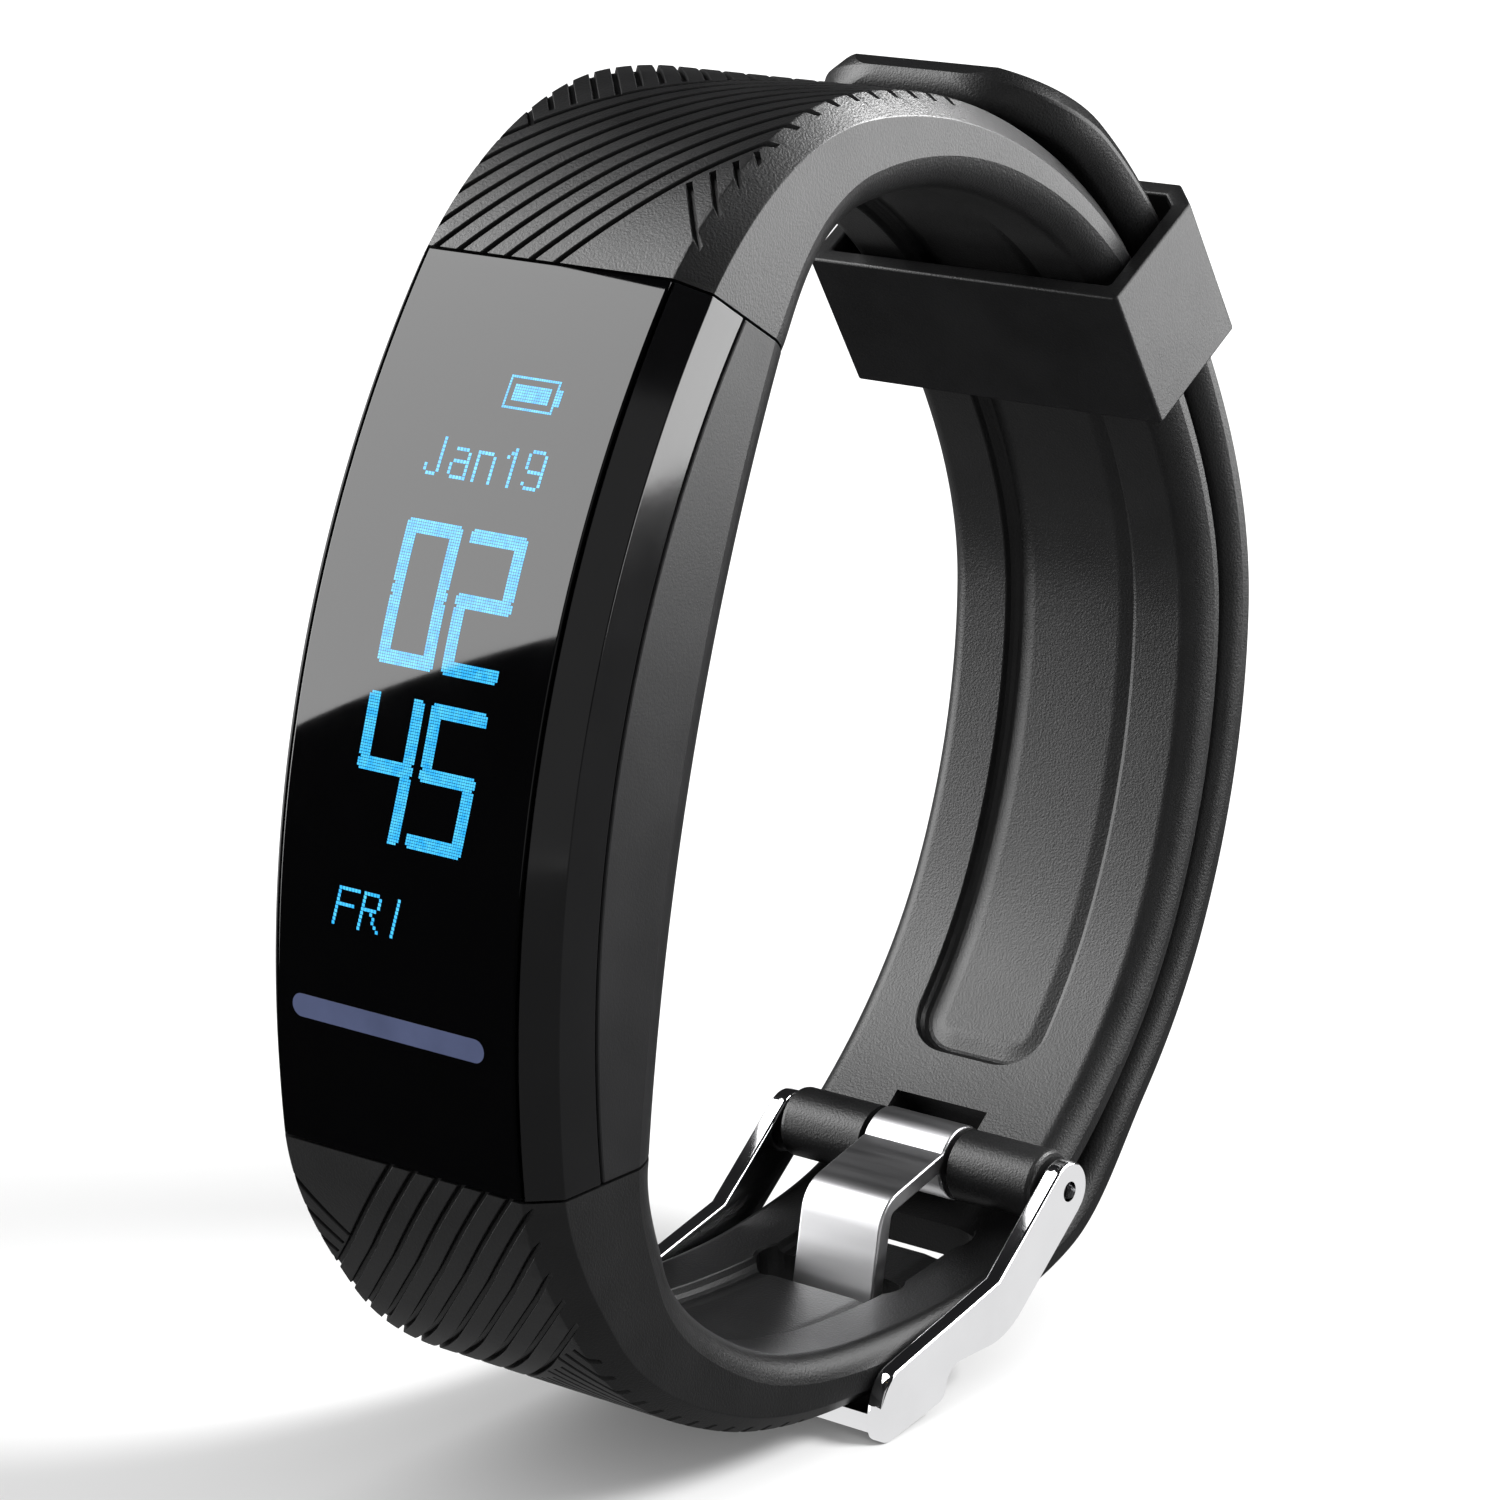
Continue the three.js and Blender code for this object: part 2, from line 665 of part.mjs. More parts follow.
function springBarTip(side) {
  const profile = [
    new THREE.Vector2(0, 5.2),
    new THREE.Vector2(0.48, 5.2),
    new THREE.Vector2(0.48, 7.6),
    new THREE.Vector2(bar.pinRadius, 7.6),
    new THREE.Vector2(bar.pinRadius, 8.85),
    new THREE.Vector2(0.3, 9.0),
    new THREE.Vector2(0, 9.0),
  ];
  return new THREE.LatheGeometry(profile, 20)
    .rotateZ((-side * Math.PI) / 2)
    .translate(0, bar.y, bar.z);
}

class Helix extends THREE.Curve {
  constructor(radius, turns, from, to) {
    super();
    Object.assign(this, { radius, turns, from, to });
  }

  getPoint(t, target = new THREE.Vector3()) {
    const angle = t * this.turns * 2 * Math.PI;
    return target.set(
      this.from + (this.to - this.from) * t, this.radius * Math.cos(angle), this.radius * Math.sin(angle));
  }
}

function springBarCoil() {
  const wire = new THREE.Shape();
  wire.absarc(0, 0, 0.1, 0, 2 * Math.PI);
  return new THREE.ExtrudeGeometry(wire, {
    extrudePath: new Helix(0.4, 12, -3.9, 3.9),
    steps: 96,
    curveSegments: 3,
    bevelEnabled: false,
  }).translate(0, bar.y, bar.z);
}

// ---------------------------------------------------------------- assembly

function add(group, name, geometry, material) {
  const mesh = new THREE.Mesh(geometry, material.clone());
  mesh.name = name;
  group.add(mesh);
}

function addModule(group) {
  add(group, 'front_lens', frontLens(), glass);
  add(group, 'oled_panel', oledPanel(), glossBlack);
  add(group, 'display_flex', displayFlex(), polyimide);
  add(group, 'touch_electrode', touchElectrode(), gold);
  add(group, 'top_cover', topCover(), glossBlack);
  add(group, 'case_gasket', caseGasket(), silicone);
  add(group, 'mid_frame', midFrame(), caseBlack);
  add(group, 'main_board', box(-6.6, 6.6, 6.25, 6.95, -12.1, 12.0), boardGreen);
  add(group, 'system_chip', box(-2.6, 2.6, 3.75, 4.7, 1.0, 6.2), chipBlack);
  add(group, 'battery_cell', box(-5.6, 5.6, 7.3, 9.0, -7.6, 8.6), foil);
  add(group, 'vibration_motor', rodY(2.5, 7.25, 9.3, 0, -10.6, 32), steel);
  add(group, 'pulse_sensor_board', box(-4.0, 4.0, 9.25, 9.75, -5.9, 4.9), boardGreen);
  add(group, 'pulse_led', box(-1.6, 1.6, 9.9, 10.3, 1.2, 3.0), ledGreen);
  add(group, 'pulse_photodiode', box(-1.4, 1.4, 9.9, 10.3, -3.6, -1.0), chipBlack);
  add(group, 'sensor_window', sensorWindow(), glass);
  add(group, 'lower_case', lowerCase(), caseBlack);
  contactPlaces.forEach((place, i) => add(group, `charge_contact_${i + 1}`, chargeContact(place), gold));
  screwPlaces.forEach((place, i) => add(group, `case_screw_${i + 1}`, caseScrew(place), steel));
  add(group, 'strap_pin_upper', tabPin(1, tab.pinRadius, 7.8), steel);
  add(group, 'strap_pin_lower', tabPin(-1, tab.pinRadius, 7.8), steel);
}

function addBuckle(group) {
  add(group, 'buckle_frame', buckleFrame(), chrome);
  add(group, 'buckle_tongue', buckleTongue(), chrome);
  add(group, 'spring_bar_tube', springBarTube(), steel);
  add(group, 'spring_bar_tip_left', springBarTip(-1), steel);
  add(group, 'spring_bar_tip_right', springBarTip(1), steel);
  add(group, 'spring_bar_coil', springBarCoil(), steel);
}

const keeperGroup = new THREE.Group();
keeperGroup.position.set(0, ...keeper.corner);
keeperGroup.rotation.x = keeper.tilt * RAD;

const band = new THREE.Group();
addModule(moduleGroup);
addBuckle(band);
add(band, 'buckle_strap', buckleStrap(), rubber);
add(band, 'tail_strap', tailStrap(), rubber);
add(keeperGroup, 'keeper_loop', keeperLoop(), keeperRubber);
band.add(moduleGroup, keeperGroup);

export default band;
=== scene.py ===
"""Fitness tracker band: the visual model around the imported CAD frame.

Shapes are worked out in millimetres, along the same paths as the CAD's, and scaled to metres
when a piece is finished. X runs across the band, the display faces -Y, +Z is up, and the origin
is the middle of the wrist opening.
"""

import json
import math

import bmesh
import bpy
import numpy as np
from mathutils import Matrix, Vector

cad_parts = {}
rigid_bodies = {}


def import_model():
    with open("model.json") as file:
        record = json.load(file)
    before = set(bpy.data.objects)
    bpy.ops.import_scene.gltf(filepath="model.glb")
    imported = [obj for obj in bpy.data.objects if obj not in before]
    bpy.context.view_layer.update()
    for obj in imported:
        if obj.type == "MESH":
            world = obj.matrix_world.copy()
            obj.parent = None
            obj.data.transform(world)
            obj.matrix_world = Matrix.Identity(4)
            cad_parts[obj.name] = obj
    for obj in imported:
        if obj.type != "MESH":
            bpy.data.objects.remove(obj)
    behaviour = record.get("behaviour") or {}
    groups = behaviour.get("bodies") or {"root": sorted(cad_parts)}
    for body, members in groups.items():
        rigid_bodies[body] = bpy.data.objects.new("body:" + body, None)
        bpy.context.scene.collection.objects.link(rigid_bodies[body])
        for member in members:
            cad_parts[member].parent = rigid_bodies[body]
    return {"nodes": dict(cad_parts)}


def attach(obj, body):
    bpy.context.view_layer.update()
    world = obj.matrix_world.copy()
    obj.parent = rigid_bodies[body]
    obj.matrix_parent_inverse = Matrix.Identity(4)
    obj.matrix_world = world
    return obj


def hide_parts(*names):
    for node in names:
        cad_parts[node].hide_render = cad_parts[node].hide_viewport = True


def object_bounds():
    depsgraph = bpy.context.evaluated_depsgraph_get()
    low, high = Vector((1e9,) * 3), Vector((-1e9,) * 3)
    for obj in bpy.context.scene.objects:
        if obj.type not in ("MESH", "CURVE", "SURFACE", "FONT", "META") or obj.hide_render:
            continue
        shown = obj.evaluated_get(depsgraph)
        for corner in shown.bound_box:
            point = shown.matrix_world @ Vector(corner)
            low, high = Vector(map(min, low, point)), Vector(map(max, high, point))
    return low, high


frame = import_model()
cad_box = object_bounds()

MM = 0.001
RAD = math.pi / 180
SCENE = bpy.context.scene
BAND = "module_and_straps"
UP = (0, 0, 1)

# ---------------- dimensions that the CAD has too

APEX = (-31.16, 7.79)
TILT = -15.17
GLASS_RADIUS = 57.9
HALF_SWEEP = 21.4
SEAM_FAN = 15.65
DEPTH_MID = 11.3
DEPTH_END = 9.2
GLASS_HALF = 7.35
MODULE_HALF = 8.75
COVER_DEPTH = 4.1
CASE_ROUND = 2.6
WALL = 1.2
GAP = 0.15
END_T = 1 - GAP / (GLASS_RADIUS * HALF_SWEEP * RAD)

TAPER_LENGTH = 18
TAPER_POWER = 1.3
SHOULDER = {"half": 8.75, "bevel": 1.4, "round": 2.6, "depth": 9.2}
BUCKLE_SLIM = {"half": 8.25, "bevel": 1.0, "round": 1.4, "depth": 2.8}
TAIL_SLIM = {"half": 8.25, "bevel": 0.8, "round": 1.0, "depth": 2.4}  # finer edges than the CAD's
LAYER_GAP = 0.3
SEAM_BLEND = 10

BUCKLE_STATIONS = [
    (-21.8, 27.11, 50),
    (-8.6, 34.0, 0),
    (4.1, 31.15, -25),
    (16.28, 21.13, -57),
    (23.2, 3.15, -90),
    (19.6, -13.05, -115),
    (8.85, -25.8, -143),
]
TAIL_STATIONS = [
    (-32.84, -13.61, -81),
    (-28.5, -22.45, -55),
    (-19.0, -29.25, -23),
    (-6.3, -31.35, 0),
    (2.6, -30.75, 10),
    (10.1, -28.85, 24),
]
BAR = (7.6, -24.3)
KNUCKLE_RADIUS = 1.9
KNUCKLE_HALF = 8.2
KNUCKLE_GAP = 2.95
BORE = 0.89
PIN_HOLE = 0.54

SLOT_COUNT = 9
SLOT_PITCH = 6.4
TIP_CORNER = 6.0
TIP_BEYOND = -0.9
TIP_LIFT = 0.6                       # how far the free end stands off the buckle strap
CHANNEL_HALF = 4.2
SCREW_X = 5.6
SCREW_Z = 13.4
CONTACT_X = 2.6
CONTACT_Z = -9.6
PLATE_INNER = 8.5                    # half the width between the buckle's side plates
PLATE_THICK = 0.95
TONGUE_HALF = 2.6

# ---------------- dimensions of this model alone

NOTCH_RADIUS = 2.95                  # room for the tongue's roll between the knuckles
SLOT_HALF = 4.5
SLOT_LENGTH = 2.9
FACET_ENDS = 12.0                    # the tail's flat side starts to grow this far from the tip
FACET_FULL = 30.0                    # and has its full height from here on
FACET_LEAST = 0.2                    # its height between the tip and FACET_ENDS
ROUND_FROM = 20                      # degrees into the quarter turn: a crease beside the flat side
FINE_CREASE = 12                     # degrees: the least edge shaded sharp on the straps and case
CHANNEL_CORNER = 2.6

# ---------------- mesh tools, in millimetres


def placed(name, data):
    """A new object with this data, in the scene."""
    obj = bpy.data.objects.new(name, data)
    SCENE.collection.objects.link(obj)
    return obj


def make_object(name, points, faces):
    """A closed mesh from points and faces, with its normals outwards."""
    mesh = bpy.data.meshes.new(name)
    mesh.from_pydata([tuple(p) for p in points], [], faces)
    work = bmesh.new()
    work.from_mesh(mesh)
    bmesh.ops.recalc_face_normals(work, faces=work.faces)
    work.to_mesh(mesh)
    work.free()
    return placed(name, mesh)


def loft(name, rings, ring_of_rings=False):
    """Joins closed rings of equally many points, with capped ends or closed on themselves."""
    count = len(rings[0])
    total = len(rings)
    faces = []
    for r in range(total if ring_of_rings else total - 1):
        for i in range(count):
            j = (i + 1) % count
            s = (r + 1) % total
            faces.append((r * count + i, r * count + j, s * count + j, s * count + i))
    if not ring_of_rings:
        faces.append(tuple(range(count)))
        faces.append(tuple((total - 1) * count + i for i in range(count)))
    return make_object(name, [p for ring in rings for p in ring], faces)


def ladder(name, levels):
    """A block between levels, each one a list of pairs of points from end to end."""
    rows = len(levels[0])
    count = 2 * rows
    points = []
    for level in levels:
        points.extend(pair[0] for pair in level)
        points.extend(pair[1] for pair in reversed(level))
    faces = []
    for k in range(len(levels) - 1):
        for i in range(count):
            j = (i + 1) % count
            faces.append((k * count + i, k * count + j, (k + 1) * count + j, (k + 1) * count + i))
    for k in (0, len(levels) - 1):
        for i in range(rows - 1):
            a = k * count + i
            b = k * count + count - 1 - i
            faces.append((a, a + 1, b - 1, b))
    return make_object(name, points, faces)


def merged(name, objects):
    """One object with the parts of several that don't touch."""
    work = bmesh.new()
    for obj in objects:
        work.from_mesh(obj.data)
        bpy.data.objects.remove(obj)
    mesh = bpy.data.meshes.new(name)
    work.to_mesh(mesh)
    work.free()
    return placed(name, mesh)


def combine(obj, tool, operation="DIFFERENCE"):
    """Cuts the tool out of the object, or joins them. The tool is used up."""
    step = obj.modifiers.new("combine", "BOOLEAN")
    step.operation = operation
    step.solver = "MANIFOLD"
    step.object = tool
    graph = bpy.context.evaluated_depsgraph_get()
    mesh = bpy.data.meshes.new_from_object(obj.evaluated_get(graph))
    obj.modifiers.clear()
    obj.data = mesh
    bpy.data.objects.remove(tool)
    return obj


def unit(v):
    return v / np.linalg.norm(v)


def rounded(corners):
    """The outline through corners of x, y, radius and steps. No steps means a sharp corner."""
    points = []
    total = len(corners)
    for i, (x, y, radius, steps) in enumerate(corners):
        here = np.array((x, y), float)
        if not steps:
            points.append(here)
            continue
        back = unit(np.array(corners[i - 1][:2]) - here)
        ahead = unit(np.array(corners[(i + 1) % total][:2]) - here)
        half = 0.5 * math.acos(max(-1, min(1, float(back @ ahead))))
        centre = here + unit(back + ahead) * radius / math.sin(half)
        start = here + back * radius / math.tan(half) - centre
        end = here + ahead * radius / math.tan(half) - centre
        turn = math.pi - 2 * half
        for k in range(steps + 1):
            a = math.sin((1 - k / steps) * turn) / math.sin(turn)
            b = math.sin(k / steps * turn) / math.sin(turn)
            points.append(centre + a * start + b * end)
    return points


def inset(corners, amount):
    """The same corners moved inwards by an amount. Rows may carry a radius and steps."""
    flat = [np.array(c[:2], float) for c in corners]
    total = len(flat)
    area = sum(flat[i - 1][0] * flat[i][1] - flat[i][0] * flat[i - 1][1] for i in range(total))
    side = 1 if area > 0 else -1
    moved = []
    for i in range(total):
        before = unit(flat[i] - flat[i - 1])
        after = unit(flat[(i + 1) % total] - flat[i])
        n1 = side * np.array((-before[1], before[0]))
        n2 = side * np.array((-after[1], after[0]))
        place = flat[i] + (n1 + n2) * amount / max(1 + float(n1 @ n2), 0.2)
        if len(corners[i]) == 2:
            moved.append(tuple(place))
        else:
            bend = side * float(before[0] * after[1] - before[1] * after[0])
            radius = corners[i][2] - amount * (1 if bend > 0 else -1)
            moved.append((*place, max(radius, 0.01), corners[i][3]))
    return moved


def mirrored(right):
    """A whole outline from its right half."""
    return list(right) + [(-c[0], *c[1:]) for c in reversed(right)]


def slab(name, outline, x0, x1, edge=0.1, steps=2):
    """A YZ outline of many points, extruded along X with rounded edges."""
    rings = []
    for k in range(steps + 1):
        turn = 90 * RAD * k / steps
        drop = edge * (1 - math.sin(turn))
        rings.append((inset(outline, drop), edge * (1 - math.cos(turn))))
    start = [[(x0 + reach, *p) for p in ring] for ring, reach in rings]
    end = [[(x1 - reach, *p) for p in ring] for ring, reach in reversed(rings)]
    return loft(name, start + end)


def full_turn(sides):
    return [2 * math.pi * i / sides for i in range(sides)]


def rod_x(name, radius, x0, x1, place, sides=48, edge=0.0):
    """A cylinder along X, with rounded ends where edge is above zero."""
    profile = [(radius, x0), (radius, x1)]
    if edge:
        quarter = [a * RAD for a in (0, 30, 60, 90)]
        rim = [(radius - edge * (1 - math.sin(a)), edge * (1 - math.cos(a))) for a in quarter]
        profile = [(r, x0 + e) for r, e in rim] + [(r, x1 - e) for r, e in reversed(rim)]
    rings = []
    for r, x in profile:
        rings.append([(x, place[0] + r * math.cos(a), place[1] + r * math.sin(a)) for a in full_turn(sides)])
    return loft(name, rings)


def lathe_y(name, profile, x, z, sides=48):
    """A closed profile of radius and Y turned round an axis along Y. It starts and ends on the axis."""
    rings = []
    for radius, y in profile:
        rings.append([(x + radius * math.cos(a), y, z + radius * math.sin(a)) for a in full_turn(sides)])
    return loft(name, rings)


def box(name, x0, x1, y0, y1, z0, z1):
    rings = [[(x, y0, z0), (x, y1, z0), (x, y1, z1), (x, y0, z1)] for x in (x0, x1)]
    return loft(name, rings)


def finished(obj, material, body=BAND, replaces=(), crease=32):
    """Scales a piece to metres, shades it, and puts it on its body."""
    work = bmesh.new()
    work.from_mesh(obj.data)
    bmesh.ops.remove_doubles(work, verts=work.verts, dist=0.0004)
    bmesh.ops.dissolve_degenerate(work, edges=work.edges, dist=0.0002)
    work.to_mesh(obj.data)
    work.free()
    obj.data.transform(Matrix.Scale(MM, 4))
    obj.data.shade_smooth()
    obj.data.set_sharp_from_angle(angle=crease * RAD)
    obj.data.materials.clear()
    obj.data.materials.append(material)
    flatten = obj.modifiers.new("flat_faces", "WEIGHTED_NORMAL")
    flatten.keep_sharp = True
    flatten.weight = 90
    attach(obj, body)
    if replaces:
        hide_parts(*replaces)
    return obj


# ---------------- strap paths


class Rail:
    """A smooth curve in the YZ plane through stations of Y, Z and heading in degrees.

    side is -1 with the wrist on its right and 1 with the wrist on its left.
    """

    def __init__(self, stations, side):
        self.side = side
        self.spans = list(zip(stations[:-1], stations[1:]))
        self.table = []
        length = 0.0
        before = None
        for i in range(len(self.spans)):
            for k in range(41):
                y, z, _ = self.on_span(i, k / 40)
                if before:
                    length += math.hypot(y - before[0], z - before[1])
                self.table.append((length, i, k / 40))
                before = (y, z)
        self.length = length
        self.lengths = np.array([row[0] for row in self.table])

    def on_span(self, i, t):
        start, end = self.spans[i]
        chord = math.hypot(end[0] - start[0], end[1] - start[1])
        turn = (end[2] - start[2]) * RAD
        reach = chord * (1 + turn * turn / 24)
        h = (2 * t**3 - 3 * t**2 + 1, t**3 - 2 * t**2 + t, 3 * t**2 - 2 * t**3, t**3 - t**2)
        dh = (6 * t**2 - 6 * t, 3 * t**2 - 4 * t + 1, 6 * t - 6 * t**2, 3 * t**2 - 2 * t)

        def along(w, a, b, trig):
            return (w[0] * a + w[1] * reach * trig(start[2] * RAD)
                    + w[2] * b + w[3] * reach * trig(end[2] * RAD))

        dy = along(dh, start[0], end[0], math.cos)
        dz = along(dh, start[1], end[1], math.sin)
        return along(h, start[0], end[0], math.cos), along(h, start[1], end[1], math.sin), math.atan2(dz, dy)

    def at(self, distance):
        """Y, Z and the angle towards the wrist. The curve goes on straight beyond its ends."""
        wanted = min(max(distance, 0), self.length)
        row = max(int(np.searchsorted(self.lengths, wanted)), 1)
        l0, i0, t0 = self.table[row - 1]
        l1, i1, t1 = self.table[row]
        share = (wanted - l0) / (l1 - l0) if l1 > l0 else 0
        start = t0 if i0 == i1 else 0
        y, z, heading = self.on_span(i1, start + (t1 - start) * share)
        beyond = distance - wanted
        y += beyond * math.cos(heading)
        z += beyond * math.sin(heading)
        return y, z, heading + self.side * math.pi / 2

    def beside(self, distance, offset):
        """A station for a curve that runs the other way, an offset further from the wrist."""
        y, z, inward = self.at(distance)
        heading = inward - self.side * math.pi / 2
        return y - math.cos(inward) * offset, z - math.sin(inward) * offset, heading / RAD + 180

    def nearest(self, y, z):
        stops = np.arange(0, self.length, 0.05)
        misses = [math.hypot(self.at(s)[0] - y, self.at(s)[1] - z) for s in stops]
        return float(stops[int(np.argmin(misses))])


buckle_rail = Rail(BUCKLE_STATIONS, -1)
layer_offset = LAYER_GAP + TAIL_SLIM["depth"]
overlap_stops = [buckle_rail.nearest(14.7, -20.25)]
overlap_stops += [buckle_rail.nearest(y, z) for y, z, _ in reversed(BUCKLE_STATIONS[2:6])]
overlap_stations = [buckle_rail.beside(s, layer_offset) for s in overlap_stops[:-1]]
overlap_stations.append(buckle_rail.beside(overlap_stops[-1], layer_offset + TIP_LIFT))
tail_rail = Rail(TAIL_STATIONS + overlap_stations, 1)
tail_end = tail_rail.length + TIP_BEYOND


class Strap:
    """A strap's path with the slant of its seam, to turn a place across, along and deep into a point."""

    def __init__(self, rail, end, slim, module_end):
        self.rail = rail
        self.end = end
        self.slim = slim
        self.seam = (TILT - module_end * SEAM_FAN) * RAD

    def size(self, s, key):
        fade = math.exp(-((max(s, 0) / TAPER_LENGTH) ** TAPER_POWER))
        return self.slim[key] + (SHOULDER[key] - self.slim[key]) * fade

    def frame(self, s):
        y, z, inward = self.rail.at(s)
        lean = (self.seam - self.rail.at(0)[2]) * min(1, max(0, 1 - s / SEAM_BLEND))
        return y, z, inward + lean

    def point(self, x, s, depth):
        y, z, inward = self.frame(s)
        return x, y + math.cos(inward) * depth, z + math.sin(inward) * depth


buckle_strap = Strap(buckle_rail, buckle_rail.length - 0.4, BUCKLE_SLIM, 1)
tail_strap = Strap(tail_rail, tail_end, TAIL_SLIM, -1)

# ---------------- strap bodies


def skin_rounding(half, depth, curve):
    """From the flat side round to the skin face. It starts with a crease and ends smoothly."""
    first = ROUND_FROM * RAD
    wide = min(curve, half * 0.7)
    points = []
    for k in range(11):
        turn = first + (math.pi / 2 - first) * k / 10
        across = 1 - math.cos(turn) / math.cos(first)
        inwards = (math.sin(turn) - math.sin(first)) / (1 - math.sin(first))
        points.append((half - wide * across, depth - curve + curve * inwards, 0, 0))
    return points


def strap_ring(strap, s, rounded_tip):
    """The cross-section at a distance from the module. Near a rounded tip it narrows and thins out."""
    half, bevel, curve, depth = (strap.size(s, key) for key in ("half", "bevel", "round", "depth"))
    left = strap.end - s
    top = 0.0
    if rounded_tip:
        share = min(max((left - FACET_ENDS) / (FACET_FULL - FACET_ENDS), 0), 1)
        room = depth - bevel - FACET_LEAST
        curve = room - (room - curve) * share
    if rounded_tip and left < TIP_CORNER:
        u = 1 - left / TIP_CORNER
        half -= TIP_CORNER * (1 - math.sqrt(max(0, 1 - u * u)))
        top = max(0.0, min(bevel - left, bevel - 0.06))
        if left < curve:
            depth -= curve - math.sqrt(max(0, curve**2 - (curve - left) ** 2))
            curve = 0.15 + (curve - 0.15) * left / curve
    flat = 1 - top / bevel
    right = [(half - bevel + top, top, 0.2 * flat + 0.01, 2), (half, bevel, 0.2 * flat + 0.01, 2)]
    right += skin_rounding(half, depth, curve)
    return [strap.point(x, s, d) for x, d in rounded(mirrored(right))]


def strap_body(name, strap, rounded_tip):
    stops = list(np.arange(0, strap.end - 0.3, 0.5))
    if rounded_tip:
        stops = [s for s in stops if s < strap.end - TIP_CORNER - 0.2]
        stops += [strap.end - TIP_CORNER * (1 - math.sin(turn * RAD)) for turn in range(0, 90, 5)]
    stops.append(strap.end)
    return loft(name, [strap_ring(strap, s, rounded_tip) for s in stops])


# ---------------- the groove pattern

GROOVE_WIDTH = 0.29
GROOVE_DEPTH = 0.36
GROOVE_EDGE = 0.04
GROOVE_RUNOUT = 8.4                  # how far across a groove's tool goes, past the bevel's edge
FADE_FROM = 27.0                     # distances along the strap between which the pattern ends
FADE_TO = 32.0
SHORT_SLOPE = 1.1                    # the second family's drop along the strap for each step across
SHORT_EDGE = 7.4
CORNER_SLOPE = 1.34
CORNER_STARTS = ((5.11, 5.34), (5.91, 6.19), (6.68, 7.04), (7.3, 7.89))


def groove_tool(strap, path):
    """A ribbon under a path of x and s on the strap. It rises out where the pattern ends."""
    half = GROOVE_WIDTH / 2
    edge = half + GROOVE_EDGE
    section = [(-edge - 0.3, -0.3), (-edge, 0.0), (-half, GROOVE_EDGE), (-half + 0.04, GROOVE_DEPTH)]
    section += [(-u, d) for u, d in reversed(section)]
    rings = []
    for i, (x, s) in enumerate(path):
        before = np.array(path[max(i - 1, 0)])
        after = np.array(path[min(i + 1, len(path) - 1)])
        across = unit(after - before)
        lift = (GROOVE_DEPTH + 0.1) * min(max((s - FADE_FROM) / (FADE_TO - FADE_FROM), 0), 1)
        rings.append([strap.point(x - across[1] * u, s + across[0] * u, d - lift) for u, d in section])
    return loft("groove", rings)


# Breakpoints of the long grooves' climb: distance along the strap against distance across it.
LONG_CLIMB = ((0.0, 0.0), (4.69, 6.0), (9.84, 12.0), (34.4, 37.8))


def long_groove_s(x, start):
    """Where along the strap a long groove is, at a distance across. start is where it meets the seam."""
    rise = x - start
    if rise < 0:
        return rise * 1.28
    return float(np.interp(rise, [p[0] for p in LONG_CLIMB], [p[1] for p in LONG_CLIMB]))


def cut_grooves(body, strap, flip, first, pitch, count, notch, notch_pitch):
    """Long parallel grooves, a second family up to the last of them, and four short ones.

    flip mirrors the pattern. first and pitch are across the seam, notch and notch_pitch along
    the strap.
    """

    def tools(paths):
        return merged("grooves", [groove_tool(strap, [(flip * x, s) for x, s in path]) for path in paths])

    def steps(x0, x1):
        return np.linspace(x0, x1, max(int(abs(x1 - x0) / 0.45), 2) + 1)

    long_paths = []
    for k in range(count):
        start = first - pitch * k
        x0 = max(start - 0.6, -GROOVE_RUNOUT)
        long_paths.append([(x, long_groove_s(x, start)) for x in steps(x0, GROOVE_RUNOUT)])
    combine(body, tools(long_paths))

    border = first - pitch * (count - 1)
    short_paths = []
    for k in range(15):
        edge_s = notch + notch_pitch * k
        path = []
        for x in np.arange(-GROOVE_RUNOUT, GROOVE_RUNOUT + 0.01, 0.4):
            s = edge_s - SHORT_SLOPE * (x + SHORT_EDGE)
            if s < long_groove_s(x, border) + 0.1:
                break
            path.append((x, s))
        if len(path) > 2:
            short_paths.append(path)
    combine(body, tools(short_paths))

    corner_paths = []
    for x, s in CORNER_STARTS:
        corner_paths.append([(x + u, s - CORNER_SLOPE * u) for u in steps(0, GROOVE_RUNOUT - x)])
    combine(body, tools(corner_paths))


# ---------------- channel, slots and tabs


# The channel from its edge inwards: depth under the skin face, and distance from the edge.
CHANNEL_PROFILE = (
    (-0.5, -0.05), (0.0, -0.05), (0.06, 0.0), (0.38, 0.08), (0.58, 0.22),
    (0.7, 0.42), (0.74, 0.62), (0.7, 0.9), (0.62, 1.3), (0.58, 1.6))


def cut_channel(body, strap, s0, s1):
    """The shallow channel on the skin face. It has round ends and is deepest beside its wall."""
    levels = []
    for drop, pull in CHANNEL_PROFILE:
        corner = CHANNEL_CORNER - pull
        half = CHANNEL_HALF - pull
        turns = [a * RAD for a in range(0, 91, 9)]
        start = [(half - corner + corner * math.sin(a), s0 + pull + corner * (1 - math.cos(a)))
                 for a in turns]
        end = [(w, s0 + s1 - s) for w, s in reversed(start)]
        middle = [(half, s) for s in np.arange(s0 + CHANNEL_CORNER + 0.6, s1 - CHANNEL_CORNER - 0.3, 0.7)]
        rows = []
        for w, s in start + middle + end:
            depth = strap.size(s, "depth") - drop
            rows.append((strap.point(w, s, depth), strap.point(-w, s, depth)))
        levels.append(rows)
    combine(body, ladder("channel", levels))


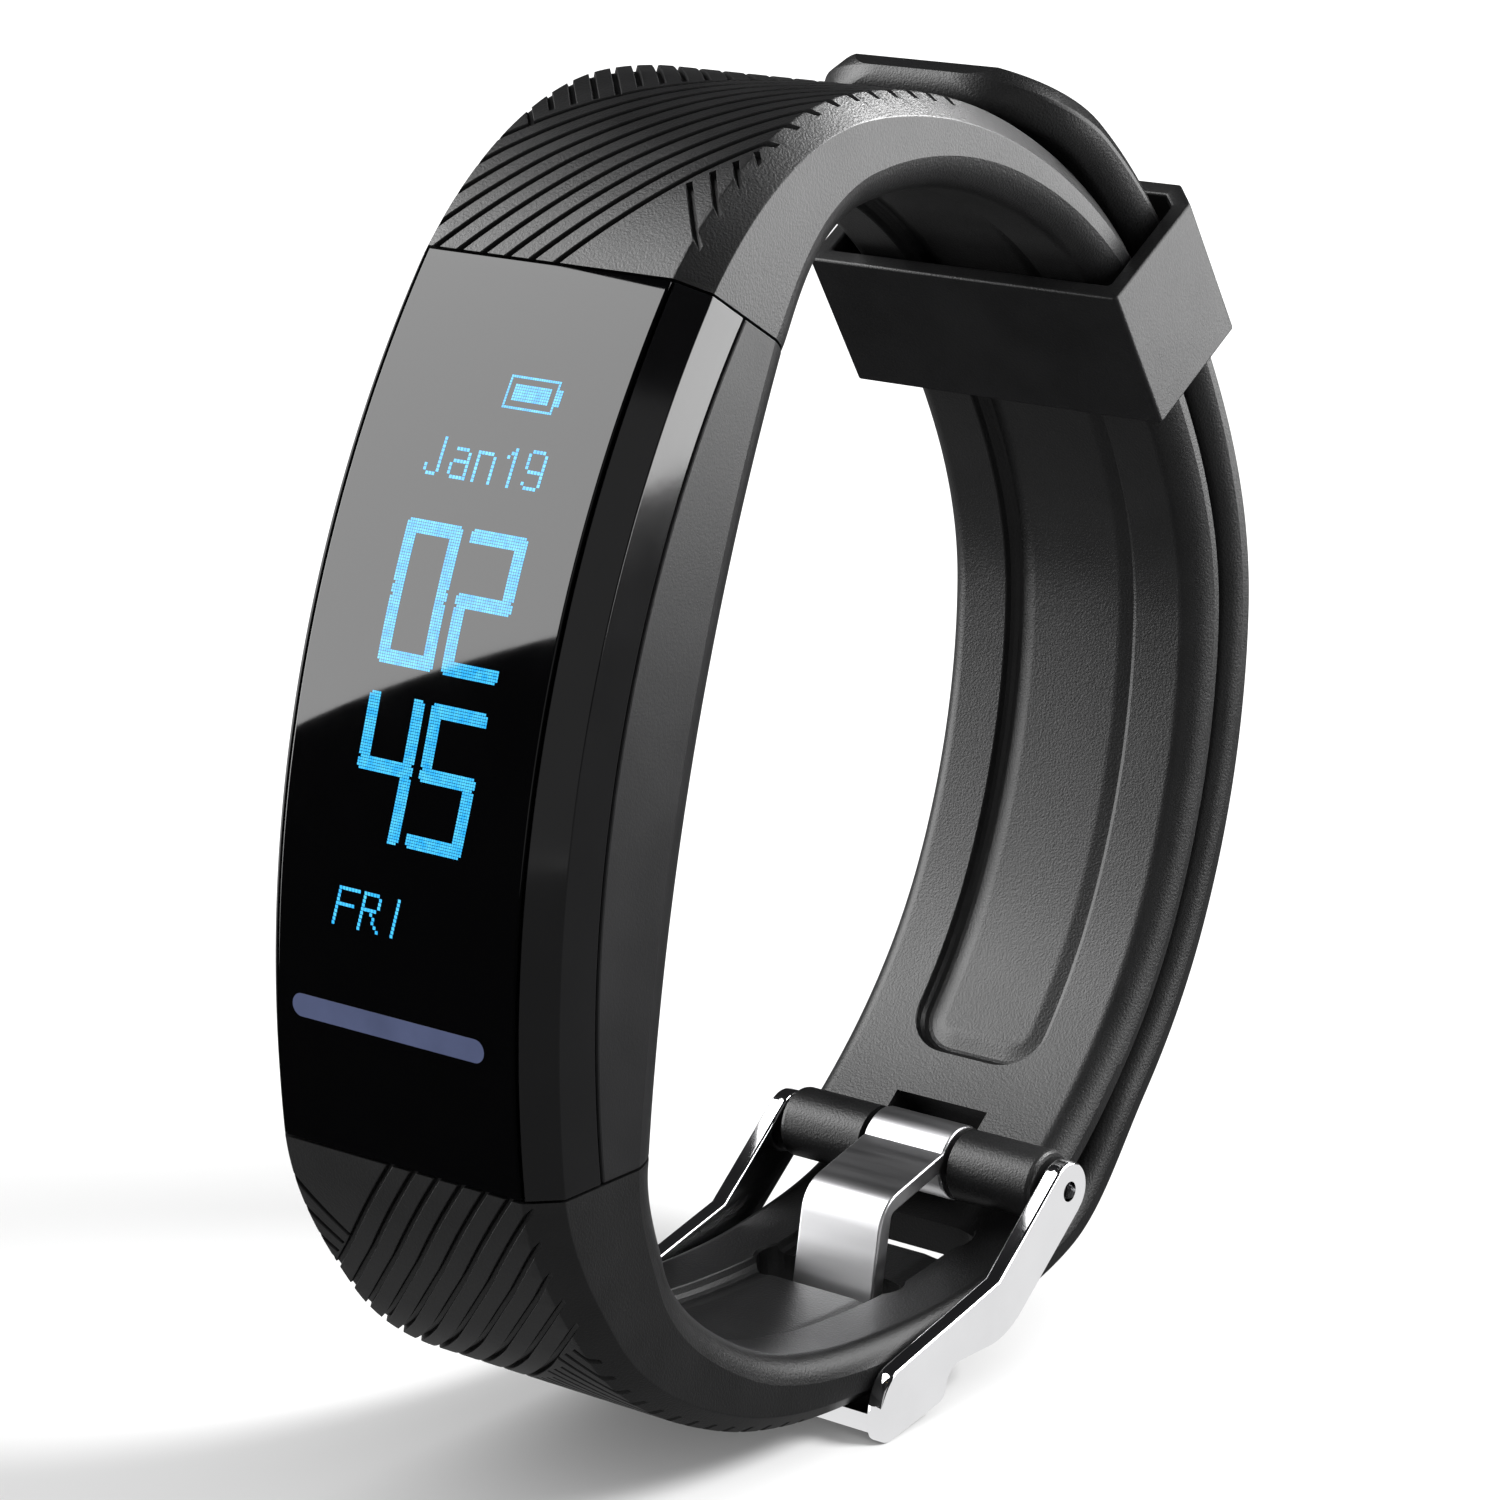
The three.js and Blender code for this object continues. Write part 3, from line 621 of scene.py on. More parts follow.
def slot_tool(strap, s):
    """A through slot with round ends and a small chamfer on both faces."""
    y, z, inward = strap.frame(s)
    heading = inward - math.pi / 2
    depth = strap.size(s, "depth")
    rings = []
    for d, grow in ((-1, 1.12), (0.12, 0), (depth - 0.12, 0), (depth + 1, 1.12)):
        radius = SLOT_LENGTH / 2 + grow
        ring = []
        for side in (1, -1):
            for k in range(15):
                turn = (-90 + 180 * k / 14) * RAD
                x = side * (SLOT_HALF - SLOT_LENGTH / 2 + radius * math.cos(turn))
                ring.append((x, side * radius * math.sin(turn)))
        rings.append([
            (x, y + math.cos(inward) * d + math.cos(heading) * v,
             z + math.sin(inward) * d + math.sin(heading) * v)
            for x, v in ring])
    return loft("slot", rings)


def to_band(x, y, z):
    """A point in the module's own frame, moved to the band's."""
    c = math.cos(TILT * RAD)
    s = math.sin(TILT * RAD)
    return x, APEX[0] + c * y - s * z, APEX[1] + s * y + c * z


def in_module(x, t, depth):
    """t runs from -1 at the lower seam to 1 at the upper one, depth goes in from the glass."""
    arc = HALF_SWEEP * t * RAD
    fan = SEAM_FAN * t * RAD
    y = GLASS_RADIUS * (1 - math.cos(arc)) + math.cos(fan) * depth
    z = GLASS_RADIUS * math.sin(arc) - math.sin(fan) * depth
    return to_band(x, y, z)


def module_block(name, half, d0, d1, t0, t1, steps=12):
    rings = []
    for t in np.linspace(t0, t1, steps + 1):
        low = d1(t) if callable(d1) else d1
        rings.append([in_module(x, t, d) for x, d in ((-half, d0), (half, d0), (half, low), (-half, low))])
    return loft(name, rings)


def tab_block(end, grow, beyond):
    t0 = end * (1 - 0.14 - grow / 40)
    t1 = end * (1 + beyond)
    return module_block("tab", 5.4 + grow, 3.4 - grow, 6.9 + grow, min(t0, t1), max(t0, t1), 4)


def tab_pin_hole(end, half):
    _, y, z = in_module(0, end * 0.93, 5.15)
    return rod_x("pin_hole", 0.7, -half, half, (y, z), 32)


# ---------------- the two straps


def build_buckle_strap():
    strap = buckle_strap
    body = strap_body("buckle_strap_rubber", strap, False)
    cut_channel(body, strap, 9, strap.end - 5.5)
    cut_grooves(body, strap, flip=1, first=0.46, pitch=1.466, count=10, notch=9.2, notch_pitch=1.6)
    combine(body, tab_block(1, 0, 0.03), "UNION")
    combine(body, tab_pin_hole(1, 9))
    combine(body, rod_x("knuckle", KNUCKLE_RADIUS, -KNUCKLE_HALF, KNUCKLE_HALF, BAR, 64, 0.3), "UNION")
    combine(body, rod_x("bore", BORE, -10, 10, BAR))
    combine(body, rod_x("notch", NOTCH_RADIUS, -KNUCKLE_GAP, KNUCKLE_GAP, BAR, 64))
    for side in (-1, 1):
        x0, x1 = sorted((side * KNUCKLE_HALF, side * 12))
        combine(body, box("end", x0, x1, BAR[0] - 4, BAR[0] + 8, BAR[1] - 4, BAR[1] + 5))
    return body


def build_tail_strap():
    strap = tail_strap
    body = strap_body("tail_strap_rubber", strap, True)
    cut_channel(body, strap, 16, strap.end - 10)
    cut_grooves(body, strap, flip=-1, first=0.76, pitch=1.458, count=11, notch=10.17, notch_pitch=1.51)
    combine(body, tab_block(-1, 0, 0.03), "UNION")
    combine(body, tab_pin_hole(-1, 9))
    first_slot = tail_rail.nearest(-0.15, -31)
    slots = [slot_tool(strap, first_slot + i * SLOT_PITCH) for i in range(SLOT_COUNT)]
    combine(body, merged("slots", slots))
    return body


# ---------------- module


def module_depth(t):
    return DEPTH_MID + (DEPTH_END - DEPTH_MID) * t * t


def module_loft(name, corners_at, edge, steps=64):
    """A cross-section carried along the module, with its end edges rounded."""
    stretch = edge / (GLASS_RADIUS * HALF_SWEEP * RAD)
    stops = [(-END_T, edge), (-END_T + 0.3 * stretch, 0.3 * edge), (-END_T + stretch, 0)]
    stops += [(t, 0) for t in np.linspace(-END_T, END_T, steps + 1)[1:-1]]
    stops += [(-t, pull) for t, pull in reversed(stops[:3])]
    rings = []
    for t, pull in stops:
        rings.append([in_module(x, t, d) for x, d in rounded(inset(corners_at(t), pull))])
    return loft(name, rings)


def build_lens():
    half = GLASS_HALF - GAP / 2
    right = [(half, 0, 0.12, 3), (half, 0.9, 0.05, 1)]
    return module_loft("glass_pane", lambda t: mirrored(right), 0.06)


def build_cover():
    side = MODULE_HALF
    inner = side - 0.9
    pocket = GLASS_HALF + GAP / 2
    floor = COVER_DEPTH - GAP
    right = [
        (pocket, 1.0, 0.03, 1), (pocket, 0.075, 0.03, 1), (side, 1.4, 0.14, 3),
        (side, floor, 0.1, 2), (inner, floor, 0.03, 1), (inner, 1.8, 0.03, 1)]
    body = module_loft("gloss_cover_shell", lambda t: mirrored(right), 0.06)
    return combine(body, module_block("window", 5.3, 0.5, 2.5, -0.5, 0.66))


def build_case():
    def corners(t):
        rounding = skin_rounding(MODULE_HALF, module_depth(t), CASE_ROUND)
        return mirrored([(MODULE_HALF, COVER_DEPTH, 0.1, 2)] + rounding)

    body = module_loft("case_shell", corners, 0.08)
    for end in (-1, 1):
        t0, t1 = sorted((end * 0.78, end * END_T))
        combine(body, module_block("end_block", 7.6, 1.95, 5.0, t0, t1, 4), "UNION")
    combine(body, module_block("cavity", 7.5, 3.0, lambda t: module_depth(t) - WALL, -0.78, 0.78, 24))
    for end in (-1, 1):
        combine(body, tab_block(end, 0.25, 0.02))
        combine(body, tab_pin_hole(end, 8.1))
    screw_profile = [(0.75, 8), (0.75, 11.1), (1.35, 11.1), (1.35, 10.9), (1.45, 14)]
    contact_profile = [(1.3, 8.5), (1.3, 11.0), (1.6, 14)]
    holes = []
    for x in (-SCREW_X, SCREW_X):
        for z in (-SCREW_Z, SCREW_Z):
            holes.append(lathe_y("hole", screw_profile, x, z))
    for x in (-CONTACT_X, CONTACT_X):
        holes.append(lathe_y("hole", contact_profile, x, CONTACT_Z))
    pane = rounded(mirrored([(4.55, -6.25, 1.3, 6), (4.55, 5.25, 1.3, 6)]))
    holes.append(loft("pane_hole", [[(x, y, z) for x, z in pane] for y in (8.5, 14)]))
    for hole in holes:
        hole.data.transform(module_matrix)
        combine(body, hole)
    return body


module_matrix = Matrix.Translation((0, *APEX)) @ Matrix.Rotation(TILT * RAD, 4, "X")


def build_sensor_pane():
    corners = mirrored([(4.4, -6.1, 1.2, 6), (4.4, 5.1, 1.2, 6)])
    rings = []
    for y, pull in ((10.45, 0.08), (10.53, 0), (11.45, 0), (11.57, 0.03), (11.65, 0.12)):
        rings.append([(x, y, z) for x, z in rounded(inset(corners, pull))])
    pane = loft("sensor_pane", rings)
    pane.data.transform(module_matrix)
    return pane


def build_contact(name, x, z):
    profile = [
        (0.02, 9.7), (0.5, 9.7), (0.5, 10.7), (1.15, 10.7), (1.15, 11.45),
        (1.11, 11.55), (1.02, 11.61), (0.9, 11.63), (0.5, 11.56), (0.02, 11.54)]
    contact = lathe_y(name, profile, x, z)
    contact.data.transform(module_matrix)
    return contact


def build_screw(name, x, z):
    profile = [
        (0.02, 6.0), (0.3, 6.1), (0.45, 6.3), (0.45, 11.15), (1.2, 11.15),
        (1.2, 11.6), (1.14, 11.7), (1.0, 11.77), (0.8, 11.8), (0.02, 11.8)]
    screw = lathe_y(name, profile, x, z)
    for across, along in ((0.75, 0.15), (0.15, 0.75)):
        combine(screw, box("drive", x - across, x + across, 11.5, 12.5, z - along, z + along))
    screw.data.transform(module_matrix)
    return screw


# ---------------- display

DOT = 0.135                          # pitch of the display's dots
TEXT_DOT = 0.19
PIXEL_BASE = -0.001                  # the lit dots are a skin just over the glass
PIXEL_TOP = -0.009


def glass_point(x, v, depth):
    """A point over the glass, at a distance v along it from the middle."""
    arc = v / GLASS_RADIUS
    y = GLASS_RADIUS * (1 - math.cos(arc)) + math.cos(arc) * depth
    z = GLASS_RADIUS * math.sin(arc) - math.sin(arc) * depth
    return to_band(x, y, z)


def digit_dots(digit, wide=25, high=50, stroke=5):
    """The dots of a seven-segment digit, as columns and rows from its lower left corner."""
    middle = high // 2
    bars = {
        "top": (0, wide, high - stroke, high),
        "mid": (0, wide, middle - 2, middle + 3),
        "low": (0, wide, 0, stroke),
        "upper_left": (0, stroke, middle - 2, high),
        "upper_right": (wide - stroke, wide, middle - 2, high),
        "lower_left": (0, stroke, 0, middle + 3),
        "lower_right": (wide - stroke, wide, 0, middle + 3)}
    lit = {
        "0": ("top", "low", "upper_left", "upper_right", "lower_left", "lower_right"),
        "2": ("top", "upper_right", "mid", "lower_left", "low"),
        "4": ("upper_left", "mid", "upper_right", "lower_right"),
        "5": ("top", "upper_left", "mid", "lower_right", "low")}
    dots = set()
    for bar in lit[digit]:
        c0, c1, r0, r1 = bars[bar]
        dots |= {(c, r) for c in range(c0, c1) for r in range(r0, r1)}
    cut_corners = set()
    for c in (0, wide - 1):
        for r in (0, middle - 2, middle + 2, high - 1):
            cut_corners.add((c, r))
    return dots - cut_corners


def line_dots(path):
    dots = set()
    for (c0, r0), (c1, r1) in zip(path[:-1], path[1:]):
        count = max(abs(c1 - c0), abs(r1 - r0), 1)
        for k in range(count + 1):
            dots.add((round(c0 + (c1 - c0) * k / count), round(r0 + (r1 - r0) * k / count)))
    return dots


GLYPHS = {
    "J": [[(4, 9), (4, 1), (3, 0), (1, 0), (0, 1), (0, 2)]],
    "a": [[(1, 7), (4, 7), (5, 6), (5, 0)], [(5, 4), (1, 4), (0, 3), (0, 1), (1, 0), (4, 0), (5, 1)]],
    "n": [[(0, 0), (0, 7)], [(0, 6), (1, 7), (4, 7), (5, 6), (5, 0)]],
    "1": [[(0, 7), (2, 9), (2, 0)]],
    "9": [[(5, 5), (4, 4), (1, 4), (0, 5), (0, 8), (1, 9), (4, 9), (5, 8), (5, 1), (4, 0), (1, 0), (0, 1)]],
    "F": [[(0, 0), (0, 9), (6, 9)], [(0, 5), (5, 5)]],
    "R": [[(0, 0), (0, 9), (4, 9), (5, 8), (5, 6), (4, 5), (0, 5)], [(2, 5), (6, 0)]],
    "I": [[(0, 0), (0, 9)]],
}


def display_dots():
    """Every lit dot, as its centre across and along the glass and its size."""
    places = []
    for digit, x0, v0 in (("0", -2.93, 1.9), ("2", 0.95, 1.9), ("4", -3.0, -6.15), ("5", 0.78, -6.15)):
        for c, r in digit_dots(digit):
            places.append((x0 + (c + 0.5) * DOT, v0 + (r + 0.5) * DOT, DOT))
    letters = (
        ("J", -2.9, 10.7), ("a", -1.45, 10.7), ("n", 0.04, 10.7), ("1", 1.75, 10.7), ("9", 2.95, 10.75),
        ("F", -2.5, -10.45), ("R", -0.95, -10.45), ("I", 1.1, -10.45))
    for letter, x0, v0 in letters:
        for path in GLYPHS[letter]:
            for c, r in line_dots(path):
                places.append((x0 + (c + 0.5) * TEXT_DOT, v0 + (r + 0.5) * TEXT_DOT, TEXT_DOT))
    places += battery_dots(0.5, 14.33)
    unique = {(round(x, 3), round(v, 3)): (x, v, size) for x, v, size in places}
    return sorted(unique.values())


def battery_dots(x0, v0):
    wide, high = 22, 12
    dots = {(c, r) for c in range(wide) for r in range(high)}
    dots -= {(c, r) for c in range(1, wide - 1) for r in range(1, high - 1)}
    dots |= {(c, r) for c in range(3, wide - 3) for r in range(3, high - 3)}
    dots |= {(c, r) for c in range(wide, wide + 2) for r in range(3, high - 3)}
    return [(x0 + (c + 0.5) * DOT, v0 + (r + 0.5) * DOT, DOT) for c, r in sorted(dots)]


def display_lean(v):
    """The lower rows sit a little to the left."""
    return -0.011 * max(0, 1 - v) ** 2


def build_pixels():
    """The lit dots, each one a thin separate tile on the glass."""
    points = []
    faces = []
    for x, v, size in display_dots():
        half = 0.41 * size
        base = len(points)
        for depth in (PIXEL_BASE, PIXEL_TOP):
            for dx, dv in ((-half, -half), (half, -half), (half, half), (-half, half)):
                points.append(glass_point(x + dx + display_lean(v), v + dv, depth))
        faces += [(base, base + 1, base + 2, base + 3), (base + 7, base + 6, base + 5, base + 4)]
        faces += [(base + i, base + (i + 1) % 4, base + 4 + (i + 1) % 4, base + 4 + i) for i in range(4)]
    return make_object("display_pixels", points, faces)


def build_touch_mark():
    """The capsule outline that marks the touch key, as a thin print on the glass."""
    half, radius, middle, shift = 5.35, 0.56, -14.7, 0.4
    levels = []
    for depth in (PIXEL_BASE, PIXEL_TOP):
        rows = []
        turns = [a * RAD for a in range(0, 91, 9)]
        end = [(half + radius - radius * (1 - math.sin(a)), radius * math.cos(a)) for a in turns]
        outline = [(-x, w) for x, w in reversed(end)] + end
        for x, w in outline:
            rows.append([glass_point(x - shift, v, depth) for v in (middle - w, middle + w)])
        levels.append(rows)
    return ladder("touch_mark", levels)


# ---------------- keeper

KEEPER_CORNER = (9.9, 22.05)
KEEPER_TILT = 31.6


def build_keeper():
    half, height, length, wall = 9.65, 8.95, 8.25, 0.95
    chamfer, inner_chamfer = 1.37, 0.75
    outer = mirrored([(half, 0, 0.25, 3), (half, height - chamfer, 0.2, 2), (half - chamfer, height, 0.2, 2)])
    inner = mirrored([
        (half - wall, wall, 0.2, 3), (half - wall, height - wall - inner_chamfer, 0.15, 2),
        (half - wall - inner_chamfer, height - wall, 0.15, 2)])
    edge = 0.16
    turns = [0, 30, 60, 90]
    rings = []

    def round_edge(outline, way, far, angles):
        for a in angles:
            reach = edge * (1 - math.cos(a * RAD))
            ring = inset(outline, way * edge * (1 - math.sin(a * RAD)))
            rings.append((ring, length - reach if far else reach))

    round_edge(outer, 1, False, turns)
    round_edge(outer, 1, True, turns[::-1])
    round_edge(inner, -1, True, turns)
    round_edge(inner, -1, False, turns[::-1])
    loops = [[(x, y, -z) for x, y in rounded(ring)] for ring, z in rings]
    keeper = loft("keeper_loop_rubber", loops, ring_of_rings=True)
    corner = Matrix.Translation((0, *KEEPER_CORNER))
    keeper.data.transform(corner @ Matrix.Rotation(KEEPER_TILT * RAD, 4, "X"))
    return keeper


# ---------------- buckle


def curve(start, control, end, steps=8):
    """Points of a quadratic curve, without its first."""
    points = []
    for k in range(1, steps + 1):
        t = k / steps
        points.append(tuple(
            (1 - t) ** 2 * a + 2 * t * (1 - t) * b + t * t * c for a, b, c in zip(start, control, end)))
    return points


def arc(radius, start, end, steps=20):
    turns = [(start + (end - start) * k / steps) * RAD for k in range(steps + 1)]
    return [(radius * math.cos(a), radius * math.sin(a)) for a in turns]


def at_bar(outline):
    return [(y + BAR[0], z + BAR[1]) for y, z in outline]


def plate_outline():
    points = [(-6.1, -3.1), (-14.85, -5.2)]
    points += curve(points[-1], (-16.0, -5.8), (-16.1, -7.4))
    points.append((-16.0, -8.3))
    points += curve(points[-1], (-15.9, -8.85), (-15.2, -8.8))
    points.append((-11.3, -8.15))
    points += curve(points[-1], (-10.6, -8.0), (-10.5, -7.2))
    points += curve(points[-1], (-10.3, -6.5), (-9.4, -6.4))
    points.append((-6.6, -6.4))
    points += curve(points[-1], (-5.2, -6.3), (-4.0, -5.3))
    points.append((0.9, -1.3))
    points += arc(1.55, -50, 130, 28)
    return at_bar(points)


def build_buckle():
    outer = PLATE_INNER + PLATE_THICK
    body = slab("buckle_metal", plate_outline(), -outer, -PLATE_INNER, 0.16, 3)
    combine(body, slab("plate", plate_outline(), PLATE_INNER, outer, 0.16, 3), "UNION")
    crossbar = at_bar([(-15.9, -7.35), (-10.9, -7.35), (-10.9, -8.0), (-15.2, -8.7), (-15.9, -8.3)])
    combine(body, slab("crossbar", crossbar, -outer + 0.1, outer - 0.1, 0.1, 1), "UNION")
    return combine(body, rod_x("hole", PIN_HOLE, -12, 12, BAR))


def tongue_outline():
    points = arc(2.0, 150, -160, 48)
    points += [(-2.1, -0.05), (-5.9, -1.0)]
    points += curve(points[-1], (-6.15, -1.1), (-6.2, -1.5))
    points.append((-7.05, -6.0))
    points += curve(points[-1], (-7.5, -6.35), (-7.95, -5.9))
    points.append((-7.2, -1.75))
    points += curve(points[-1], (-6.95, -0.35), (-5.6, 0.0))
    points.append((-2.9, 0.7))
    return at_bar(points)


def build_tongue():
    body = slab("tongue_metal", tongue_outline(), -TONGUE_HALF, TONGUE_HALF, 0.14, 3)
    return combine(body, rod_x("bore", BORE, -5, 5, BAR))


# ---------------- materials


def shader(name):
    material = bpy.data.materials.new(name)
    material.use_nodes = True
    nodes = material.node_tree.nodes
    return material, nodes, material.node_tree.links, nodes["Principled BSDF"]


def set_inputs(node, values):
    for name, value in values.items():
        node.inputs[name].default_value = value


def noise(nodes, links, scale, detail=2.0, stretch=(1, 1, 1)):
    """Noise in the object's own metres."""
    place = nodes.new("ShaderNodeTexCoord")
    mapping = nodes.new("ShaderNodeMapping")
    set_inputs(mapping, {"Scale": stretch})
    texture = nodes.new("ShaderNodeTexNoise")
    set_inputs(texture, {"Scale": scale, "Detail": detail})
    links.new(place.outputs["Object"], mapping.inputs["Vector"])
    links.new(mapping.outputs["Vector"], texture.inputs["Vector"])
    return texture.outputs["Fac"]


def ranged(nodes, links, source, low, high):
    """Noise, which lies mostly between 0.3 and 0.7, spread from low to high."""
    node = nodes.new("ShaderNodeMapRange")
    set_inputs(node, {"From Min": 0.3, "From Max": 0.7, "To Min": low, "To Max": high})
    links.new(source, node.inputs["Value"])
    return node.outputs["Result"]


def mottled(nodes, links, source, first, second):
    """Two colours, mixed by noise."""
    tone = nodes.new("ShaderNodeMix")
    tone.data_type = "RGBA"
    tone.inputs[6].default_value = (*first, 1)
    tone.inputs[7].default_value = (*second, 1)
    links.new(ranged(nodes, links, source, 0, 1), tone.inputs[0])
    return tone.outputs[2]


def detailed(name, colour, roughness, grain=0.0, depth=0.0, metallic=0.0, specular=0.5, vary=0.12,
             rough_vary=0.06, patch=300, stretch=(1, 1, 1), coat=0.0):
    """A moulded, coated or metal surface: slightly uneven colour and roughness, and a fine grain.

    grain and depth are the size and height of the grain in metres. Without grain there is no bump.
    """
    material, nodes, links, surface = shader(name)
    set_inputs(surface, {
        "Metallic": metallic, "Specular IOR Level": specular, "Coat Weight": coat, "Coat Roughness": 0.05})
    patches = noise(nodes, links, patch, 4.0, stretch)
    dark, light = ([c * (1 + way * vary) for c in colour] for way in (-1, 1))
    links.new(mottled(nodes, links, patches, dark, light), surface.inputs["Base Color"])
    rough = ranged(nodes, links, patches, max(roughness - rough_vary, 0.01), roughness + rough_vary)
    links.new(rough, surface.inputs["Roughness"])
    if grain:
        bump = nodes.new("ShaderNodeBump")
        set_inputs(bump, {"Strength": 1.0, "Distance": depth})
        links.new(noise(nodes, links, 1 / grain, 2.0, stretch), bump.inputs["Height"])
        links.new(bump.outputs["Normal"], surface.inputs["Normal"])
    return material


def lit_dots():
    """Light-blue display dots behind the same gloss as the glass."""
    material, nodes, links, surface = shader("display_light")
    set_inputs(surface, {
        "Base Color": (0.004, 0.008, 0.012, 1), "Roughness": 0.03, "Specular IOR Level": 0.4,
        "Emission Strength": 1.3})
    glow = mottled(nodes, links, noise(nodes, links, 2500), (0.02, 0.42, 0.95), (0.09, 0.62, 1.0))
    links.new(glow, surface.inputs["Emission Color"])
    return material


rubber = detailed("strap_rubber_black", (0.006, 0.006, 0.0062), 0.38, grain=0.00012, depth=2e-5,
                  vary=0.15, rough_vary=0.02, specular=0.35)
keeper_rubber = detailed("keeper_rubber_black", (0.008, 0.008, 0.0083), 0.38, grain=0.00012,
                         depth=1.4e-5, rough_vary=0.02, specular=0.32)
gloss = detailed("gloss_black_cover", (0.002, 0.002, 0.0022), 0.09, grain=0.0006, depth=6e-7,
                 rough_vary=0.02)
matte = detailed("matte_black_case", (0.008, 0.008, 0.0085), 0.38, grain=0.0001, depth=6e-6,
                 rough_vary=0.02, specular=0.3)
glass = detailed("dark_glass", (0.0006, 0.0006, 0.0007), 0.025, grain=0.004, depth=4e-7,
                 specular=0.42, rough_vary=0.008)
mark = detailed("mark_print", (0.05, 0.06, 0.11), 0.04, grain=0.0003, depth=5e-7, specular=0.42,
                rough_vary=0.01)
chrome = detailed("polished_chrome", (0.86, 0.86, 0.87), 0.07, grain=0.0005, depth=1.5e-6, metallic=1,
                  vary=0.03, rough_vary=0.03, stretch=(0.25, 1, 1))
brushed = detailed("brushed_chrome", (0.52, 0.52, 0.53), 0.34, grain=0.00022, depth=2e-6, metallic=1,
                   vary=0.05, rough_vary=0.05, patch=900, stretch=(0.08, 1, 1))
steel = detailed("pin_steel_brushed", (0.5, 0.5, 0.51), 0.3, grain=0.0002, depth=3e-6, metallic=1,
                 stretch=(0.15, 1, 1))
# Painted shade: the spring bar tips get a near-black steel, darker than the tube's, so that their ends in the
# buckle's pin holes read as shaded.
steel_painted_shade = detailed("bar_tip_steel_painted_shade", (0.07, 0.07, 0.072), 0.4, grain=0.0002, depth=3e-6,
                      metallic=1)
gold = detailed("contact_gold_plate", (0.80, 0.56, 0.22), 0.24, grain=0.0002, depth=2e-6,
                metallic=1)
board = detailed("board_green_mask", (0.015, 0.09, 0.04), 0.4, grain=0.0006, depth=1e-5, coat=0.3)
chip = detailed("chip_black_moulding", (0.015, 0.015, 0.016), 0.5, grain=0.00008, depth=6e-6)
foil = detailed("battery_foil_skin", (0.55, 0.56, 0.58), 0.28, grain=0.0012, depth=3e-5, metallic=0.8)
gasket = detailed("gasket_silicone_grey", (0.04, 0.04, 0.043), 0.6, grain=0.0002, depth=6e-6)
flex = detailed("flex_film_amber", (0.45, 0.16, 0.03), 0.35, grain=0.0005, depth=4e-6,
                stretch=(0.2, 1, 1))
led = detailed("led_green_lens", (0.2, 0.72, 0.2), 0.25, grain=0.0002, depth=3e-6)
pixels = lit_dots()

NODE_MATERIALS = {
    "oled_panel": glass, "display_flex": flex, "touch_electrode": gold, "case_gasket": gasket,
    "mid_frame": matte, "main_board": board, "system_chip": chip, "battery_cell": foil,
    "vibration_motor": steel, "pulse_sensor_board": board, "pulse_led": led, "pulse_photodiode": chip,
    "strap_pin_upper": steel, "strap_pin_lower": steel, "spring_bar_tube": steel,
    "spring_bar_tip_left": steel_painted_shade, "spring_bar_tip_right": steel_painted_shade, "spring_bar_coil": steel}

# ---------------- pieces

finished(build_buckle_strap(), rubber, replaces=["buckle_strap"], crease=FINE_CREASE)
finished(build_tail_strap(), rubber, replaces=["tail_strap"], crease=FINE_CREASE)
finished(build_lens(), glass, replaces=["front_lens"])
finished(build_cover(), gloss, replaces=["top_cover"])
finished(build_case(), matte, replaces=["lower_case"], crease=FINE_CREASE)
finished(build_sensor_pane(), glass, replaces=["sensor_window"])
finished(build_pixels(), pixels)
finished(build_touch_mark(), mark)
finished(build_keeper(), keeper_rubber, "keeper", ["keeper_loop"])
finished(build_buckle(), chrome, "buckle", ["buckle_frame"])
finished(build_tongue(), brushed, "tongue", ["buckle_tongue"])
for i, x in enumerate((-CONTACT_X, CONTACT_X), 1):
    contact = build_contact(f"contact_pad_{i}", x, CONTACT_Z)
    finished(contact, gold, replaces=[f"charge_contact_{i}"])
screw_places = [(x, z) for z in (-SCREW_Z, SCREW_Z) for x in (-SCREW_X, SCREW_X)]
for i, (x, z) in enumerate(screw_places, 1):
    finished(build_screw(f"screw_head_{i}", x, z), steel, replaces=[f"case_screw_{i}"])

for node, material in NODE_MATERIALS.items():
    cad = frame["nodes"][node]
    for place in cad.material_slots:
        place.material = material

# ---------------- camera

CAMERA = Vector((144.419, -188.603, 64.266)) * MM
FORWARD = Vector((-0.60053684, 0.75491955, -0.26353743))
LENS = 117.27
SENSOR = 36


def add_camera():
    data = bpy.data.cameras.new("camera")
    data.lens = LENS
    data.sensor_width = SENSOR
    data.clip_start = 0.01
    data.clip_end = 20
    camera = placed("camera", data)
    camera.location = CAMERA
    camera.rotation_euler = FORWARD.to_track_quat("-Z", "Y").to_euler()
    SCENE.camera = camera


# ---------------- floor and lights

FLOOR_Z = cad_box[0][2]


def add_floor():
    half = 3.0
    corners = [(x * half, y * half, FLOOR_Z) for x, y in ((-1, -1), (1, -1), (1, 1), (-1, 1))]
    mesh = bpy.data.meshes.new("floor")
    mesh.from_pydata(corners, [], [(0, 1, 2, 3)])
    floor = placed("floor", mesh)
    material = detailed("floor_white", (0.72, 0.72, 0.72), 0.6, specular=0, vary=0.01, patch=20)
    surface = material.node_tree.nodes["Principled BSDF"]
    set_inputs(surface, {"Emission Color": (1, 1, 1, 1), "Emission Strength": 0.1})
    mesh.materials.append(material)
    floor.visible_glossy = False


def receivers(name, skip=(), only=()):
    """The pieces that a light falls on."""
    group = bpy.data.collections.new(name)
    for obj in SCENE.objects:
        if obj.type == "MESH" and obj.name not in skip and (not only or obj.name in only):
            group.objects.link(obj)
    return group


